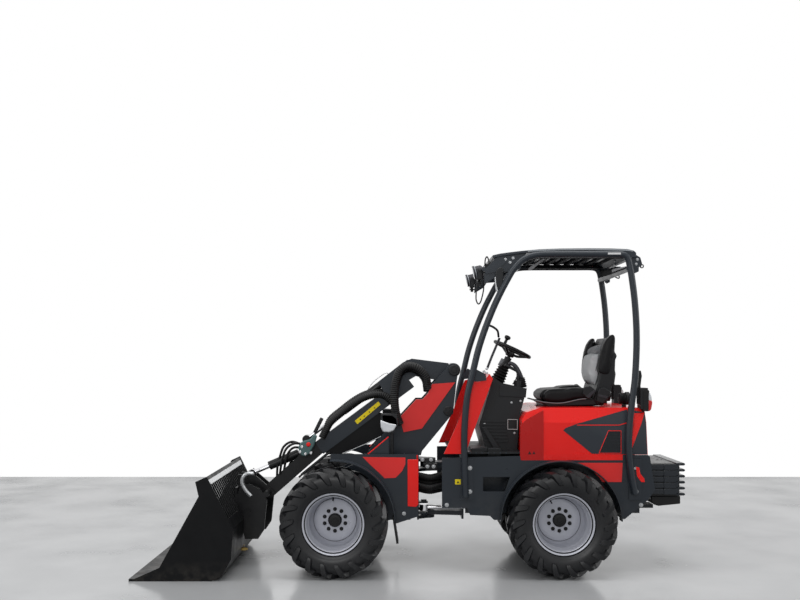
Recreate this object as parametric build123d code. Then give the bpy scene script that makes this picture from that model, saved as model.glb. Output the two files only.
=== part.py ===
from build123d import *
import math
import os

# Compact wheel loader. Millimetres and degrees; X forward, Y to the machine's left, Z up.
# Outlines are kept as places in the photograph and turned into millimetres by the camera below.

PHOTO_CENTRE_PX = 400
PHOTO_HORIZON_PX = 360
PHOTO_FOCAL_PX = 934
CAMERA_Y = 6850
CAMERA_Z = 1470

# Distances from the machine's middle plane at which the outlines are read.
SIDE_READ_Y = 440
HOOP_READ_Y = 466
WEIGHT_READ_Y = 300
CONSOLE_READ_Y = 300
STICK_READ_Y = 250
SEAT_READ_Y = 255
BACK_READ_Y = 265
TAIL_READ_Y = 440
BOOM_READ_Y = 200
LAMP_READ_Y = 300
BUCKET_READ_Y = 650

RUN_CLEARANCE = 0.05
CUT_OVERRUN = 30

# Wheels and axles.
STEER_X = -200
FRONT_AXLE_AHEAD = 648
WHEELBASE = 1546
TRACK = 960
TYRE_RADIUS = 368
TYRE_WIDTH = 318
TYRE_BULGE_HEIGHT = 70
TREAD_DEPTH = 24
TREAD_EDGE_INSET = 30
TREAD_EDGE_DROP = 12
LUG_COUNT = 18
LUG_WIDTH = 36
LUG_FOOT = 6
LUG_SWEEP_DEG = 15
LUG_TAIL_SWEEP_DEG = 21
RIM_SEAT_RADIUS = 190.5
RIM_FLANGE_HEIGHT = 19.5
RIM_FLANGE_THICKNESS = 8
RIM_WIDTH = 240
RIM_WALL = 8
RIM_DISC_OFFSET = 88
RIM_DISC_THICKNESS = 16
BEAD_CLEARANCE = 2
HUB_RADIUS = 45
HUB_LENGTH = 26
HUB_BORE_RADIUS = 30
AXLE_RADIUS = 50
AXLE_FLANGE_RADIUS = 110
AXLE_FLANGE_THICKNESS = 20
AXLE_CASE_RADIUS = 120
AXLE_CASE_WIDTH = 200

# Rear frame.
BODY_HALF = 440
SIDE_THICKNESS = 8
ARCH_CLEARANCE = 41
ARCH_SHEET = 6
FENDER_REACH = 70
REAR_SIDE_PX = [
    (442, 458), (442, 508), (467, 508), (470, 515), (490, 516), (494, 520),
    (617, 520), (625, 519), (648, 500), (655, 490), (650, 457), (648, 455), (560, 455),
]
BULKHEAD_FOOT_PX = 508
REAR_PLATE_FOOT_PX = 500
DECK_BACK_PX = 560
FENDER_FOOT_PX = 520
REAR_WINDOW_PX = [(483, 477), (510, 477), (505, 491.5), (483, 491.5)]
BULKHEAD_X = -460
BULKHEAD_THICKNESS = 15
RAIL_Y = 250
RAIL_THICKNESS = 10
RAIL_BOTTOM_Z = 390
RAIL_TOP_Z = 780
REAR_PLATE_X = -1690
REAR_PLATE_THICKNESS = 14
PIN_RADIUS = 22
LUG_RADIUS = 52
LUG_ROOT_HALF = 95
FORK_THICKNESS = 20
TONGUE_GAP = 6
UPPER_FORK_Z = 663
UPPER_FORK_HEIGHT = 92
LOWER_FORK_Z = 321
LOWER_FORK_HEIGHT = 83

# Engine hood, hollow under its sheet.
HOOD_SIDE_PX = [(522, 420), (527, 412.5), (541.5, 408), (640, 408), (646, 411.6), (648, 454.8), (522, 454.8)]
HOOD_INSET = 5
HOOD_LEAN = 40
HOOD_CREASE_Z = 1040
HOOD_SHEET = 6
ENGINE_LENGTH = 560
ENGINE_WIDTH = 420
ENGINE_HEIGHT = 430
ENGINE_FRONT_X = -1110

# Operator's place.
FLOOR_FRONT_X = -350
FLOOR_THICKNESS = 12
FLOOR_Z = 826
CONSOLE_PX = [
    (493.5, 377), (501, 382.7), (527, 388.5), (519.3, 417.2), (517, 443.5), (486, 443.5), (479, 425),
]
CONSOLE_HALF = 300
COWL_PX = [
    (443.9, 453.9), (461.2, 415), (473.5, 383), (484.7, 380), (489.8, 373.9), (492.9, 379), (467.3, 448.4),
    (465.5, 453.9),
]
COWL_SHEET = 8
COWL_BRIDGE_PX = [(484.7, 380), (489.8, 373.9), (492.9, 379), (490, 386)]
COLUMN_FOOT_PX = (498, 380)
COLUMN_TOP_PX = (508.5, 357.5)
COLUMN_RADIUS = 26
WHEEL_RIM_RADIUS = 137
WHEEL_GRIP_RADIUS = 12
WHEEL_HUB_RADIUS = 34
WHEEL_HUB_LENGTH = 40
WHEEL_DISH = 45
WHEEL_SPOKE_RADIUS = 9
WHEEL_SPOKES = 3
WHEEL_SPOKE_START_SHARE = 0.5
KNOB_RADIUS = 22
KNOB_HEIGHT = 45
JOYSTICK_Y = 250
JOYSTICK_FOOT_PX = (518, 387)
JOYSTICK_TIP_PX = 505
JOYSTICK_RADIUS = 11
JOYSTICK_BOOT_RADIUS = 30
JOYSTICK_BOOT_HEIGHT = 45
JOYSTICK_RISE = 110
SEAT_HALF = 255
SEAT_BASE_HALF = 170
SEAT_BASE_PX = (545, 596)
CUSHION_PX = [(534, 392.5), (538, 387.5), (560, 384.5), (586, 386.5), (590, 402), (546, 402), (537, 400)]
BACK_PX = [
    (598, 344), (611, 333.5), (614, 337), (613.5, 386), (608, 400), (601, 405), (590, 405), (586, 386.5),
    (594.5, 384),
]
BACK_HALF = 265

# Roll-over frame and canopy.
HOOP_RADIUS = 25
HOOP_GAP = 0.3
HOOP_BEND = 90
HOOP_PX = [
    (465.8, 500), (466, 411), (485.5, 337), (509, 279), (527, 254.5), (625, 254.5),
    (633.5, 283), (636.5, 340), (636.5, 386), (629, 455), (636, 497),
]
HOOP_FOOT_LENGTH = 90
HOOP_FOOT_HEIGHT = 260
HOOP_FOOT_THICKNESS = 10
HOOP_CROSS_PX = [(518, 266.8), (629.2, 268.6)]
HOOP_CROSS_RADIUS = 20
CANOPY_PX = [
    (493, 254), (500, 253), (530, 250.2), (600, 248.5), (630, 250.5), (636.5, 255), (639.5, 259),
    (634, 259), (629, 257.5), (500, 257.5),
]
CANOPY_SHEET = 8
BRACKET_PX = [(501, 254.5), (492, 262), (484, 270), (486, 274), (496, 272), (506, 262)]
BRACKET_THICKNESS = 8
WORK_LAMP_INSET = 110
WORK_LAMP_RADIUS = 46
WORK_LAMP_DEPTH = 62
LAMP_BAR_RADIUS = 14
LAMP_BAR_PX = (484, 269)

# Rear end.
WEIGHT_HALF = 300
WEIGHT_PLATES = 6
WEIGHT_PX = [(643.6, 463), (685.3, 463), (685.5, 494), (643.6, 494)]
WEIGHT_GAP_SHARE = 0.34
WEIGHT_CORE_INSET = 45
WEIGHT_BLOCK_PX = [(650, 494), (680, 494), (679, 503), (660, 506), (652, 504)]
WEIGHT_BLOCK_HALF = 230
TAIL_LAMP_INSET = 90
TAIL_LAMP_WIDTH = 90
TAIL_LAMP_PX = [(640.5, 388), (648, 388), (648.5, 409), (640.5, 409)]
TAIL_STEM_RADIUS = 12
DRAWBAR_HALF = 60
DRAWBAR_HEIGHT = 25
DRAWBAR_LENGTH = 150
DRAWBAR_Z = 395
HITCH_BORE_RADIUS = 14

# Front frame and its tower.
TOWER_Y = 130
TOWER_THICKNESS = 20
TOWER_PX = [
    (459.5, 366), (454.2, 364.5), (448.5, 366), (432.5, 384.2), (428.2, 393.3), (422.6, 399.6),
    (416.3, 399.6),
    (399.5, 417.9), (382.5, 435), (368, 451.6), (368, 456), (421, 456), (422.3, 451.6), (453.5, 413.7),
    (457, 382),
]
CHASSIS_PX = [
    (419, 456), (368, 456), (358, 462.5), (330, 476.5), (313, 493.4), (313, 521.5), (389, 521.5), (419, 510),
]
CHASSIS_PLATE = 12
FRONT_SIDE_Y = 368
FRONT_SIDE_THICKNESS = 10
FRONT_SIDE_PX = [(416.5, 455.3), (364, 455), (330, 455), (330, 500), (388.8, 527.5), (418.5, 518)]
FRONT_LIP_REACH = 107
WING_X = -36
WING_THICKNESS = 8
WING_BOTTOM_Z = 420
WING_TOP_Z = 800
COLUMN_COVER_Y = 270
COLUMN_COVER_WIDTH = 60
COLUMN_COVER_LENGTH = 90
TOWER_PANEL_PX = [
    (432.5, 384.2), (455.5, 382.5), (422, 429), (403.7, 432.6), (399.5, 417.9), (416.3, 399.6),
    (422.6, 399.6), (428.2, 393.3),
]
TOWER_PANEL_THICKNESS = 6
HEADLAMP_Y = 300
HEADLAMP_WIDTH = 100
HEADLAMP_PX = [(381, 414), (397, 414), (398, 424), (394, 432), (383, 432)]
HEADLAMP_STEM_PX = 392
HEADLAMP_STEM_RADIUS = 12
HEADLAMP_ARM_RADIUS = 10

# Boom, measured along and across its own slope from its pivot.
BOOM_PIVOT_PX = (454.2, 370.2)
BOOM_SLOPE_DEG = 36.5
BOOM_HUB_RADIUS = 50
BOOM_SIDE_GAP = 6
BEAM_RISE = 122
BEAM_DEPTH = 104
BEAM_HALF = 66
BEAM_WALL = 8
BEAM_START = 300
BEAM_END = 1120
BOOM_ARM_PX = [
    (454.2, 376.5), (449.3, 363.2), (412, 358.6), (403, 362.5), (378, 382), (384.5, 395), (416, 376.5),
    (440, 381),
]
INNER_START = 330
INNER_WALL = 7
HEAD_START = 1130
COUPLER_PIN_ALONG = 1604
COUPLER_PIN_RISE = 87
HEAD_HALF = 58
HEAD_PLATE = 14
HEAD_END_RADIUS = 48

# Hydraulic cylinders.
EYE_RADIUS = 30
EYE_HALF = 22
CLEVIS_GAP = 6
CLEVIS_THICKNESS = 12
CAP_RADIUS = 20
CAP_LENGTH = 12
LIFT_BASE_PX = (448, 411)
LIFT_EYE_ALONG = 1026
LIFT_EYE_RISE = 18
LIFT_BARREL_RADIUS = 36
LIFT_ROD_RADIUS = 20
LIFT_BARREL_LENGTH = 500
TELESCOPE_RISE = 229
TELESCOPE_BASE_ALONG = 235
TELESCOPE_BARREL_RADIUS = 26
TELESCOPE_ROD_RADIUS = 14
TELESCOPE_BARREL_LENGTH = 590
TILT_BASE_AHEAD = 75
TILT_BASE_RISE = 172
TILT_EYE_AHEAD = 130
TILT_EYE_ABOVE = 127
TILT_BARREL_RADIUS = 32
TILT_ROD_RADIUS = 16
TILT_BARREL_LENGTH = 270
TILT_RETRACT = 82
STEER_BASE_X = -880
STEER_BASE_Y = 145
STEER_EYE_AHEAD = 30
STEER_EYE_Y = 170
STEER_CYLINDER_Z = 418
STEER_BARREL_RADIUS = 26
STEER_ROD_RADIUS = 14
STEER_BARREL_LENGTH = 400
STEER_RETRACT = 120
CONSOLE_WALL = 6

# Coupler and bucket.
COUPLER_HALF = 200
COUPLER_PLATE = 16
COUPLER_PX = [(260, 489), (249, 484), (240, 486), (235, 502), (245, 539), (258, 539), (264, 530), (267, 500)]
BUCKET_HALF = 650
BUCKET_SHEET = 8
BUCKET_SIDE_PX = [
    (128.6, 583.1), (159.2, 567.8), (198.5, 496.5), (195.1, 482.1), (206.6, 476.8), (228.1, 519.4),
    (232.9, 530), (231, 559.6), (221.4, 576.8), (210.9, 581.6),
]
BUCKET_LIP_LENGTH = 60
BUCKET_BAR_COUNT = 22
BUCKET_BAR_RADIUS = 6
BUCKET_BAR_INSET = 1
BUCKET_EDGE_LENGTH = 150
BUCKET_EDGE_THICKNESS = 16
MULTI_AHEAD = 2
MULTI_RISE = 145
MULTI_LENGTH = 80
MULTI_HEIGHT = 90
MULTI_WIDTH = 60


def photo_x(column, y):
    return (PHOTO_CENTRE_PX - column) * (CAMERA_Y - y) / PHOTO_FOCAL_PX


def photo_z(row, y):
    return CAMERA_Z - (row - PHOTO_HORIZON_PX) * (CAMERA_Y - y) / PHOTO_FOCAL_PX


def outline(table, y):
    return [(photo_x(column, y), photo_z(row, y)) for column, row in table]


def plate(points, y_from, thickness):
    wire = Wire.make_polygon([(x, y_from, z) for x, z in points])
    return Solid.extrude(Face(wire), Vector(0, thickness, 0))


def block(x_from, x_to, y_from, y_to, z_from, z_to):
    corners = [(x_from, z_from), (x_to, z_from), (x_to, z_to), (x_from, z_to)]
    return plate(corners, y_from, y_to - y_from)


def pin(x, z, y_from, y_to, radius):
    base = Plane(origin=(x, y_from, z), z_dir=(0, 1, 0))
    return Solid.make_cylinder(radius, y_to - y_from, base)


def post(x, y, z_from, z_to, radius):
    return Solid.make_cylinder(radius, z_to - z_from, Plane(origin=(x, y, z_from), z_dir=(0, 0, 1)))


def bar(start, end, radius):
    direction = Vector(*end) - Vector(*start)
    return Solid.make_cylinder(radius, direction.length, Plane(origin=start, z_dir=direction))


def both(shape):
    return [shape, mirror(shape, about=Plane.XZ)]


def solids_in(thing):
    """Every solid in a shape or a nested list of shapes."""
    if isinstance(thing, (list, tuple)):
        found = []
        for member in thing:
            found += solids_in(member)
        return found
    return list(thing.solids())


def whole(thing):
    """One shape that holds every solid of a result."""
    found = solids_in(thing)
    if len(found) == 1:
        return found[0]
    return Compound(children=found)


def fused(pieces):
    found = solids_in(pieces)
    return whole(found[0].fuse(*found[1:]))


def cut(shape, *tools):
    return whole(shape.cut(*solids_in(tools)))


def common(shape, other):
    return whole(shape.intersect(other))


def bent_tube(points, radius, bend):
    path = FilletPolyline(*points, radius=bend)
    start = Plane(origin=path @ 0, z_dir=path % 0)
    return sweep(start * Circle(radius), path=path)


def turned(profile, x, y, z):
    wire = Wire.make_polygon([(radius, along, 0) for radius, along in profile])
    spun = revolve(Face(wire), Axis.Y)
    return spun.moved(Location((x, y, z)))


FRONT_AXLE_X = STEER_X + FRONT_AXLE_AHEAD
REAR_AXLE_X = FRONT_AXLE_X - WHEELBASE
WHEEL_Y = TRACK / 2
ARCH_RADIUS = TYRE_RADIUS + ARCH_CLEARANCE
LUG_PITCH_DEG = 360 / LUG_COUNT
HOOD_HALF = BODY_HALF - HOOD_INSET
HOOD_TOP_HALF = HOOD_HALF - HOOD_LEAN
TELESCOPE_EYE_ALONG = HEAD_START + EYE_RADIUS
TILT_BASE_ALONG = TELESCOPE_EYE_ALONG + TILT_BASE_AHEAD
BOOM_X = photo_x(BOOM_PIVOT_PX[0], BOOM_READ_Y)
BOOM_Z = photo_z(BOOM_PIVOT_PX[1], BOOM_READ_Y)
BOOM_COS = math.cos(math.radians(BOOM_SLOPE_DEG))
BOOM_SIN = math.sin(math.radians(BOOM_SLOPE_DEG))


def boom_place(along, rise):
    x = BOOM_X + along * BOOM_COS + rise * BOOM_SIN
    z = BOOM_Z - along * BOOM_SIN + rise * BOOM_COS
    return x, z


def boom_plate(points, y_from, thickness):
    return plate([boom_place(along, rise) for along, rise in points], y_from, thickness)


def boom_box(along_from, along_to, rise_from, rise_to, half):
    corners = [(along_from, rise_from), (along_to, rise_from), (along_to, rise_to), (along_from, rise_to)]
    return boom_plate(corners, -half, half + half)


def cylinder_pair(base, eye, barrel_radius, rod_radius, barrel_length, eye_axis, retract):
    """Barrel and rod of a hydraulic cylinder; retract is how far the rod can still go in."""
    start = Vector(*base)
    end = Vector(*eye)
    along = (end - start).normalized()
    sideways = Vector(*eye_axis)
    base_eye = Solid.make_cylinder(
        EYE_RADIUS, EYE_HALF + EYE_HALF, Plane(origin=start - sideways * EYE_HALF, z_dir=sideways)
    )
    base_bore = Solid.make_cylinder(
        CAP_RADIUS / 2 + RUN_CLEARANCE,
        EYE_HALF + EYE_HALF,
        Plane(origin=start - sideways * EYE_HALF, z_dir=sideways),
    )
    shell_start = EYE_RADIUS + CLEVIS_GAP
    shell = Solid.make_cylinder(
        barrel_radius, barrel_length - shell_start, Plane(origin=start + along * shell_start, z_dir=along)
    )
    neck = Solid.make_cylinder(rod_radius, EYE_RADIUS + EYE_HALF, Plane(origin=start, z_dir=along))
    bore_start = start + along * (EYE_RADIUS + EYE_HALF)
    bore = Solid.make_cylinder(
        rod_radius + RUN_CLEARANCE, barrel_length, Plane(origin=bore_start, z_dir=along),
    )
    barrel = cut(fused([base_eye, shell, neck]), bore, base_bore)
    rod_start = bore_start + along * (retract + CLEVIS_GAP)
    rod_length = (end - rod_start).length
    rod = Solid.make_cylinder(rod_radius, rod_length, Plane(origin=rod_start, z_dir=along))
    rod_eye = Solid.make_cylinder(
        EYE_RADIUS, EYE_HALF + EYE_HALF, Plane(origin=end - sideways * EYE_HALF, z_dir=sideways)
    )
    return barrel, fused([rod, rod_eye])


def tread_ring(across, root, tip, sweep):
    """Four points for every lug at one distance from the tyre's middle: foot, edge, edge and foot."""
    half_lug = math.degrees(LUG_WIDTH / TYRE_RADIUS) / 2
    foot = half_lug + math.degrees(LUG_FOOT / TYRE_RADIUS)
    ring = []
    for index in range(LUG_COUNT):
        middle = sweep + index * LUG_PITCH_DEG
        for turn, radius in ((-foot, root), (-half_lug, tip), (half_lug, tip), (foot, root)):
            angle = math.radians(middle + turn)
            ring.append(Vector(radius * math.cos(angle), across, radius * math.sin(angle)))
    return ring


def facet_band(first, second):
    """Flat facets between two rings of as many points."""
    facets = []
    count = len(first)
    for index in range(count):
        after = (index + 1) % count
        facets.append(Face(Wire.make_polygon([first[index], first[after], second[index]])))
        facets.append(Face(Wire.make_polygon([first[after], second[after], second[index]])))
    return facets


def lug_tails(ring, ends):
    """Facets where the lugs run out into the side wall, which keeps two points for every lug."""
    facets = []
    count = len(ring)
    for index in range(LUG_COUNT):
        foot, edge, far_edge, far_foot = ring[4 * index:4 * index + 4]
        next_foot = ring[(4 * index + 4) % count]
        lead, trail = ends[2 * index:2 * index + 2]
        next_lead = ends[(2 * index + 2) % len(ends)]
        corners = [
            (foot, edge, lead), (edge, far_edge, lead), (far_edge, trail, lead),
            (far_edge, far_foot, trail), (far_foot, next_foot, trail), (next_foot, next_lead, trail),
        ]
        facets += [Face(Wire.make_polygon(three)) for three in corners]
    return facets


def tyre_half():
    """Left half of a lugged tyre about the Y axis, flat at its middle and closed at its bead."""
    half_tyre = TYRE_WIDTH / 2
    seat_half = RIM_WIDTH / 2 - RIM_FLANGE_THICKNESS
    bead = RIM_SEAT_RADIUS + RIM_FLANGE_HEIGHT + BEAD_CLEARANCE
    bulge = TYRE_RADIUS - TYRE_BULGE_HEIGHT
    edge_tip = TYRE_RADIUS - TREAD_EDGE_DROP
    middle = tread_ring(0, TYRE_RADIUS - TREAD_DEPTH, TYRE_RADIUS, 0)
    edge = tread_ring(half_tyre - TREAD_EDGE_INSET, edge_tip - TREAD_DEPTH, edge_tip, LUG_SWEEP_DEG)
    wall = tread_ring(half_tyre, bulge, bulge, LUG_TAIL_SWEEP_DEG)
    ends = [point for index, point in enumerate(wall) if index % 4 in (0, 3)]
    bead_ring = [Vector(end.X * bead / bulge, seat_half, end.Z * bead / bulge) for end in ends]
    facets = facet_band(middle, edge) + lug_tails(edge, ends) + facet_band(ends, bead_ring)
    facets += [Face(Wire.make_polygon(middle)), Face(Wire.make_polygon(bead_ring))]
    return Solid(Shell(facets))


def lugged_tyre():
    """Both halves of the tread, bored; their lugs lie half a pitch apart and one stands on the floor."""
    left = tyre_half()
    right = mirror(left, about=Plane.XZ).rotate(Axis.Y, LUG_PITCH_DEG / 2)
    seat_half = RIM_WIDTH / 2 - RIM_FLANGE_THICKNESS
    bored = cut(fused([left, right]), pin(0, 0, -seat_half, seat_half, RIM_SEAT_RADIUS))
    return bored.rotate(Axis.Y, math.degrees(LUG_WIDTH / TYRE_RADIUS) / 2)


TYRE = lugged_tyre()


def wheel(x, y, outward):
    """Tyre and rim of one wheel; outward is 1 on the left and -1 on the right."""
    half_rim = RIM_WIDTH / 2
    flange = RIM_SEAT_RADIUS + RIM_FLANGE_HEIGHT
    seat_half = half_rim - RIM_FLANGE_THICKNESS
    disc_inner = -RIM_DISC_OFFSET
    disc_outer = disc_inner + RIM_DISC_THICKNESS
    bore = HUB_BORE_RADIUS + RUN_CLEARANCE
    inside = RIM_SEAT_RADIUS - RIM_WALL
    rim_profile = [
        (flange, half_rim), (flange, seat_half), (RIM_SEAT_RADIUS, seat_half), (RIM_SEAT_RADIUS, -seat_half),
        (flange, -seat_half), (flange, -half_rim), (inside, -half_rim), (inside, disc_inner),
        (bore, disc_inner),
        (bore, disc_outer + HUB_LENGTH), (HUB_RADIUS, disc_outer + HUB_LENGTH), (HUB_RADIUS, disc_outer),
        (inside, disc_outer), (inside, half_rim),
    ]
    rim = turned([(radius, along * outward) for radius, along in rim_profile], x, y * outward, TYRE_RADIUS)
    tyre = TYRE.moved(Location((x, y * outward, TYRE_RADIUS)))
    return tyre, rim


def axle(x, case_length_half):
    """Axle with its differential case, flanges against the wheel discs and stubs in their bores."""
    disc_face = WHEEL_Y - RIM_DISC_OFFSET
    tube = pin(
        x, TYRE_RADIUS, -disc_face + AXLE_FLANGE_THICKNESS, disc_face - AXLE_FLANGE_THICKNESS, AXLE_RADIUS,
    )
    flange = pin(
        x, TYRE_RADIUS, disc_face - AXLE_FLANGE_THICKNESS, disc_face - RUN_CLEARANCE, AXLE_FLANGE_RADIUS,
    )
    stub_end = disc_face + RIM_DISC_THICKNESS + HUB_LENGTH
    stub = pin(x, TYRE_RADIUS, disc_face - AXLE_FLANGE_THICKNESS, stub_end, HUB_BORE_RADIUS)
    case = pin(x, TYRE_RADIUS, -case_length_half, case_length_half, AXLE_CASE_RADIUS)
    return fused([tube, case, both(flange), both(stub)])


def arch_hole(x, y_from, y_to):
    return pin(x, TYRE_RADIUS, y_from, y_to, ARCH_RADIUS)


def arch_sheet(x, y_from, y_to, z_from):
    """Curved sheet over a wheel, cut off level below its rows."""
    ring = pin(x, TYRE_RADIUS, y_from, y_to, ARCH_RADIUS + ARCH_SHEET)
    ring = cut(ring, pin(x, TYRE_RADIUS, y_from, y_to, ARCH_RADIUS))
    reach = ARCH_RADIUS + ARCH_SHEET + CUT_OVERRUN
    keep = block(x - reach, x + reach, y_from, y_to, z_from, TYRE_RADIUS + reach)
    return common(ring, keep)


def lug(x_root, z_from, z_to, bore):
    """Flat lug from a wall at x_root to the steering axis."""
    wire = Wire.make_polygon([
        (x_root, -LUG_ROOT_HALF, z_from), (x_root, LUG_ROOT_HALF, z_from),
        (STEER_X, LUG_RADIUS, z_from), (STEER_X, -LUG_RADIUS, z_from),
    ])
    arm = Solid.extrude(Face(wire), Vector(0, 0, z_to - z_from))
    shape = fused([arm, post(STEER_X, 0, z_from, z_to, LUG_RADIUS)])
    if bore > 0:
        shape = cut(shape, post(STEER_X, 0, z_from, z_to, bore))
    return shape


FORKS = [(UPPER_FORK_Z, UPPER_FORK_HEIGHT), (LOWER_FORK_Z, LOWER_FORK_HEIGHT)]


def rear_frame():
    side = plate(outline(REAR_SIDE_PX, SIDE_READ_Y), BODY_HALF - SIDE_THICKNESS, SIDE_THICKNESS)
    window = plate(outline(REAR_WINDOW_PX, SIDE_READ_Y), BODY_HALF - SIDE_THICKNESS, SIDE_THICKNESS)
    side = cut(side, arch_hole(REAR_AXLE_X, BODY_HALF - SIDE_THICKNESS, BODY_HALF), window)
    inner = BODY_HALF - SIDE_THICKNESS
    wheelhouse = arch_sheet(REAR_AXLE_X, RAIL_Y, inner, RAIL_BOTTOM_Z)
    rail = block(REAR_PLATE_X, BULKHEAD_X, RAIL_Y, RAIL_Y + RAIL_THICKNESS, RAIL_BOTTOM_Z, RAIL_TOP_Z)
    saddle = AXLE_RADIUS + RUN_CLEARANCE
    rail = cut(rail, pin(REAR_AXLE_X, TYRE_RADIUS, RAIL_Y, RAIL_Y + RAIL_THICKNESS, saddle))
    bulkhead = block(
        BULKHEAD_X, BULKHEAD_X + BULKHEAD_THICKNESS, -inner, inner, photo_z(BULKHEAD_FOOT_PX, SIDE_READ_Y),
        RAIL_TOP_Z,
    )
    lower_wall = block(
        BULKHEAD_X, BULKHEAD_X + BULKHEAD_THICKNESS, -LUG_ROOT_HALF, LUG_ROOT_HALF, LOWER_FORK_Z, RAIL_TOP_Z,
    )
    tail = block(
        REAR_PLATE_X, REAR_PLATE_X + REAR_PLATE_THICKNESS, -inner, inner,
        photo_z(REAR_PLATE_FOOT_PX, SIDE_READ_Y), RAIL_TOP_Z,
    )
    tongues = []
    for bottom, height in FORKS:
        low = bottom + FORK_THICKNESS + TONGUE_GAP
        high = bottom + height - FORK_THICKNESS - TONGUE_GAP
        tongues.append(lug(BULKHEAD_X + BULKHEAD_THICKNESS, low, high, PIN_RADIUS + RUN_CLEARANCE))
    base_gap = STEER_BARREL_RADIUS + CLEVIS_GAP
    cross = block(
        STEER_BASE_X - EYE_RADIUS - CLEVIS_GAP - BULKHEAD_THICKNESS, STEER_BASE_X - EYE_RADIUS - CLEVIS_GAP,
        -RAIL_Y, RAIL_Y,
        RAIL_BOTTOM_Z - CLEVIS_THICKNESS - base_gap, RAIL_BOTTOM_Z + CLEVIS_THICKNESS + base_gap + base_gap,
    )
    clevis = [cross]
    clevis_back = STEER_BASE_X - EYE_RADIUS - CLEVIS_GAP
    for sign in (1, -1):
        near = STEER_CYLINDER_Z + sign * base_gap
        far = near + sign * CLEVIS_THICKNESS
        low, high = min(near, far), max(near, far)
        clevis.append(
            block(clevis_back, STEER_BASE_X, STEER_BASE_Y - EYE_RADIUS, STEER_BASE_Y + EYE_RADIUS, low, high)
        )
        clevis.append(post(STEER_BASE_X, STEER_BASE_Y, low, high, EYE_RADIUS))
    clevis.append(
        post(
            STEER_BASE_X, STEER_BASE_Y, STEER_CYLINDER_Z - base_gap, STEER_CYLINDER_Z + base_gap,
            CAP_RADIUS / 2,
        )
    )
    deck = block(
        photo_x(DECK_BACK_PX, SIDE_READ_Y), BULKHEAD_X + BULKHEAD_THICKNESS, -inner, inner, RAIL_TOP_Z,
        RAIL_TOP_Z + SIDE_THICKNESS,
    )
    return fused(
        [both(side), both(wheelhouse), both(rail), bulkhead, lower_wall, tail, deck] + tongues + clevis
    )


def hood_body(points, sheet):
    """Solid under a side outline, its sides leaning in above the crease and all of it a sheet further in."""
    side = plate(points, -BODY_HALF, BODY_HALF + BODY_HALF)
    front = max(x for x, z in points)
    back = min(x for x, z in points)
    bottom = min(z for x, z in points)
    top = max(z for x, z in points)
    section = [
        (-HOOD_HALF + sheet, bottom), (HOOD_HALF - sheet, bottom), (HOOD_HALF - sheet, HOOD_CREASE_Z),
        (HOOD_TOP_HALF - sheet, top), (-HOOD_TOP_HALF + sheet, top), (-HOOD_HALF + sheet, HOOD_CREASE_Z),
    ]
    wire = Wire.make_polygon([(back, y, z) for y, z in section])
    return common(side, Solid.extrude(Face(wire), Vector(front - back, 0, 0)))


def hood_hollow():
    """Room under the hood, open at its bottom."""
    outer_points = outline(HOOD_SIDE_PX, SIDE_READ_Y)
    bottom = min(z for x, z in outer_points)
    top = max(z for x, z in outer_points)
    front = max(x for x, z in outer_points)
    back = min(x for x, z in outer_points)
    scale_x = (front - back - HOOD_SHEET - HOOD_SHEET) / (front - back)
    scale_z = (top - bottom - HOOD_SHEET) / (top - bottom)
    inner_points = [
        (back + HOOD_SHEET + (x - back) * scale_x, bottom + (z - bottom) * scale_z) for x, z in outer_points
    ]
    return hood_body(inner_points, HOOD_SHEET)


def export_all(nodes):
    front_tip = photo_x(BUCKET_SIDE_PX[0][0], BUCKET_READ_Y)
    rear_tip = photo_x(WEIGHT_PX[2][0], WEIGHT_READ_Y)
    shift = Location((-(front_tip + rear_tip) / 2, 0, 0))
    os.makedirs("parts", exist_ok=True)
    for name, shape in nodes.items():
        export_step(shape.moved(shift), "parts/" + name + ".step")


nodes = {}
nodes["rear_frame"] = rear_frame()
nodes["rear_axle"] = axle(REAR_AXLE_X, AXLE_CASE_WIDTH / 2)
hood_solid = hood_body(outline(HOOD_SIDE_PX, SIDE_READ_Y), 0)
nodes["engine_hood"] = cut(hood_solid, hood_hollow())

# Rear wheels and front wheels.
WHEELS = [
    ("front_left", FRONT_AXLE_X, 1),
    ("front_right", FRONT_AXLE_X, -1),
    ("rear_left", REAR_AXLE_X, 1),
    ("rear_right", REAR_AXLE_X, -1),
]
for name, x, outward in WHEELS:
    tyre, rim = wheel(x, WHEEL_Y, outward)
    nodes[name + "_tyre"] = tyre
    nodes[name + "_rim"] = rim

# Fender lips outside the rear arches.
lip_level = photo_z(FENDER_FOOT_PX, SIDE_READ_Y)
rear_lip = arch_sheet(REAR_AXLE_X, BODY_HALF, BODY_HALF + FENDER_REACH, lip_level)
nodes["rear_fender_left"] = rear_lip
nodes["rear_fender_right"] = mirror(rear_lip, about=Plane.XZ)

engine_bottom = TYRE_RADIUS + AXLE_CASE_RADIUS + AXLE_FLANGE_THICKNESS
engine = block(
    ENGINE_FRONT_X - ENGINE_LENGTH, ENGINE_FRONT_X, -ENGINE_WIDTH / 2, ENGINE_WIDTH / 2,
    engine_bottom, engine_bottom + ENGINE_HEIGHT,
)
foot_x = ENGINE_FRONT_X - ENGINE_LENGTH / 2
feet = block(
    foot_x - AXLE_RADIUS, foot_x + AXLE_RADIUS, -RAIL_Y, RAIL_Y, engine_bottom, engine_bottom + AXLE_RADIUS,
)
nodes["engine_block"] = fused([engine, feet])

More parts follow.
